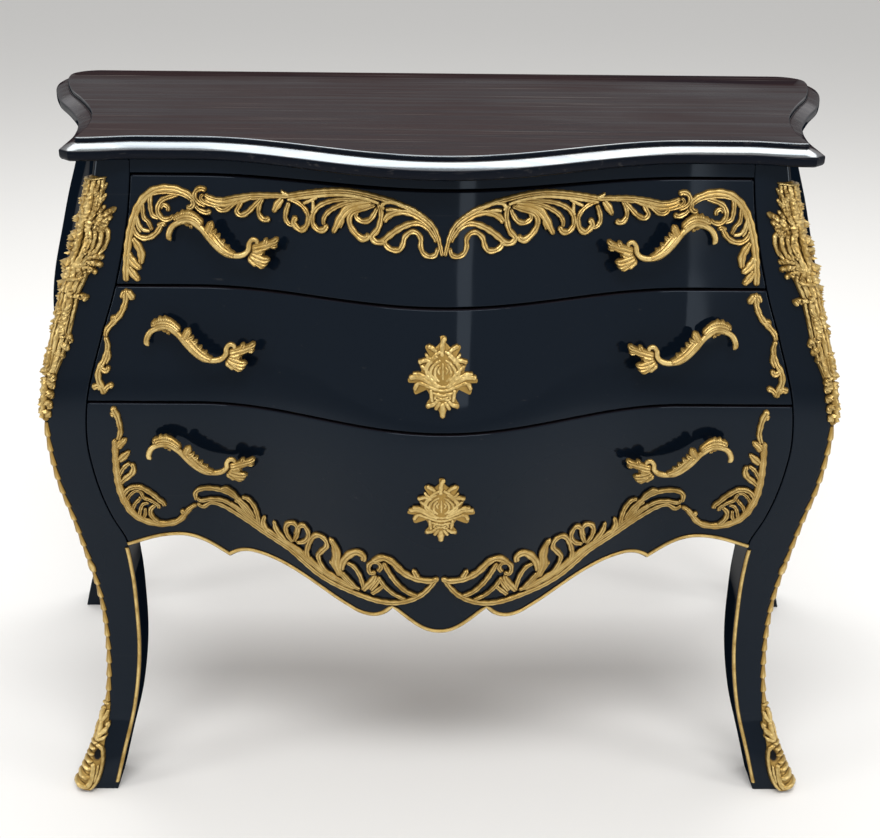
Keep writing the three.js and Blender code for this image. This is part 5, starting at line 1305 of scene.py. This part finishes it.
print("stage")
stageLook = {
    "floor": (0.80, 0.79, 0.77, 1), "floorRoughness": 0.9, "extent": 30.0,
    "world": (0.87, 0.87, 0.87, 1), "strength": 0.72,
}
floorMaterial, _, floorShader = newMaterial("floor")
floorShader.inputs["Base Color"].default_value = stageLook["floor"]
floorShader.inputs["Roughness"].default_value = stageLook["floorRoughness"]
floorMesh = bpy.data.meshes.new("floor")
extent = stageLook["extent"]
floorCorners = [(-extent, -extent, 0), (extent, -extent, 0), (extent, extent, 0), (-extent, extent, 0)]
floorMesh.from_pydata(floorCorners, [], [(0, 1, 2, 3)])
floorMesh.materials.append(floorMaterial)
floor = bpy.data.objects.new("floor", floorMesh)
bpy.context.scene.collection.objects.link(floor)

world = bpy.data.worlds.new("studio")
bpy.context.scene.world = world
world.use_nodes = True
background = world.node_tree.nodes["Background"]
background.inputs["Color"].default_value = stageLook["world"]
background.inputs["Strength"].default_value = stageLook["strength"]

# where each lamp stands and what it aims at, in metres, its size and its power
lights = {
    "sky": {"place": (0.0, -2.6, 4.8), "aim": (0, 0, 0.5), "size": (4.5, 1.4), "watts": 150},
    "backSky": {"place": (0.0, 1.5, 3.6), "aim": (0, -0.2, 0.8), "size": (4.5, 1.5), "watts": 70},
    "strip": {"place": (0.66, -2.8, 1.5), "aim": (0.05, -0.2, 0.65), "size": (0.4, 1.4), "watts": 3.6},
    "leftWindow": {"place": (-4.0, -1.2, 2.0), "aim": (0, 0, 0.5), "size": (1.0, 2.2), "watts": 38},
    "rightWindow": {"place": (4.0, -1.2, 2.0), "aim": (0, 0, 0.5), "size": (1.0, 2.2), "watts": 38},
}
for name, form in lights.items():
    lamp = bpy.data.lights.new(name, "AREA")
    lamp.shape = "RECTANGLE"
    lamp.size, lamp.size_y = form["size"]
    lamp.energy = form["watts"]
    holder = bpy.data.objects.new(name, lamp)
    holder.location = form["place"]
    holder.rotation_euler = (Vector(form["aim"]) - Vector(form["place"])).to_track_quat("-Z", "Y").to_euler()
    bpy.context.scene.collection.objects.link(holder)

# Camera fitted to the photo: focal length in its pixels, pitch, yaw and roll in degrees, place in metres
shot = {
    "focal": 1350, "pixels": 880, "pitch": 23.5164, "yaw": 0.9898, "roll": 0.7103,
    "x": -0.0265, "distance": 1.5118, "height": 1.1676,
}
pitch, yaw, roll = (math.radians(shot[k]) for k in ("pitch", "yaw", "roll"))
forward = Vector((math.sin(yaw) * math.cos(pitch), math.cos(yaw) * math.cos(pitch), -math.sin(pitch)))
level = Vector((math.cos(yaw), -math.sin(yaw), 0))
upright = level.cross(forward)
across = level * math.cos(roll) + upright * math.sin(roll)
up = upright * math.cos(roll) - level * math.sin(roll)
camera = bpy.data.objects.new("camera", bpy.data.cameras.new("camera"))
camera.data.sensor_width = 36
camera.data.lens = shot["focal"] * camera.data.sensor_width / shot["pixels"]
camera.matrix_world = Matrix([
    (across.x, up.x, -forward.x, shot["x"]),
    (across.y, up.y, -forward.y, -shot["distance"] + yShift),
    (across.z, up.z, -forward.z, shot["height"]),
    (0, 0, 0, 1)])
bpy.context.scene.collection.objects.link(camera)
bpy.context.scene.camera = camera
bpy.context.scene.view_settings.view_transform = "Standard"
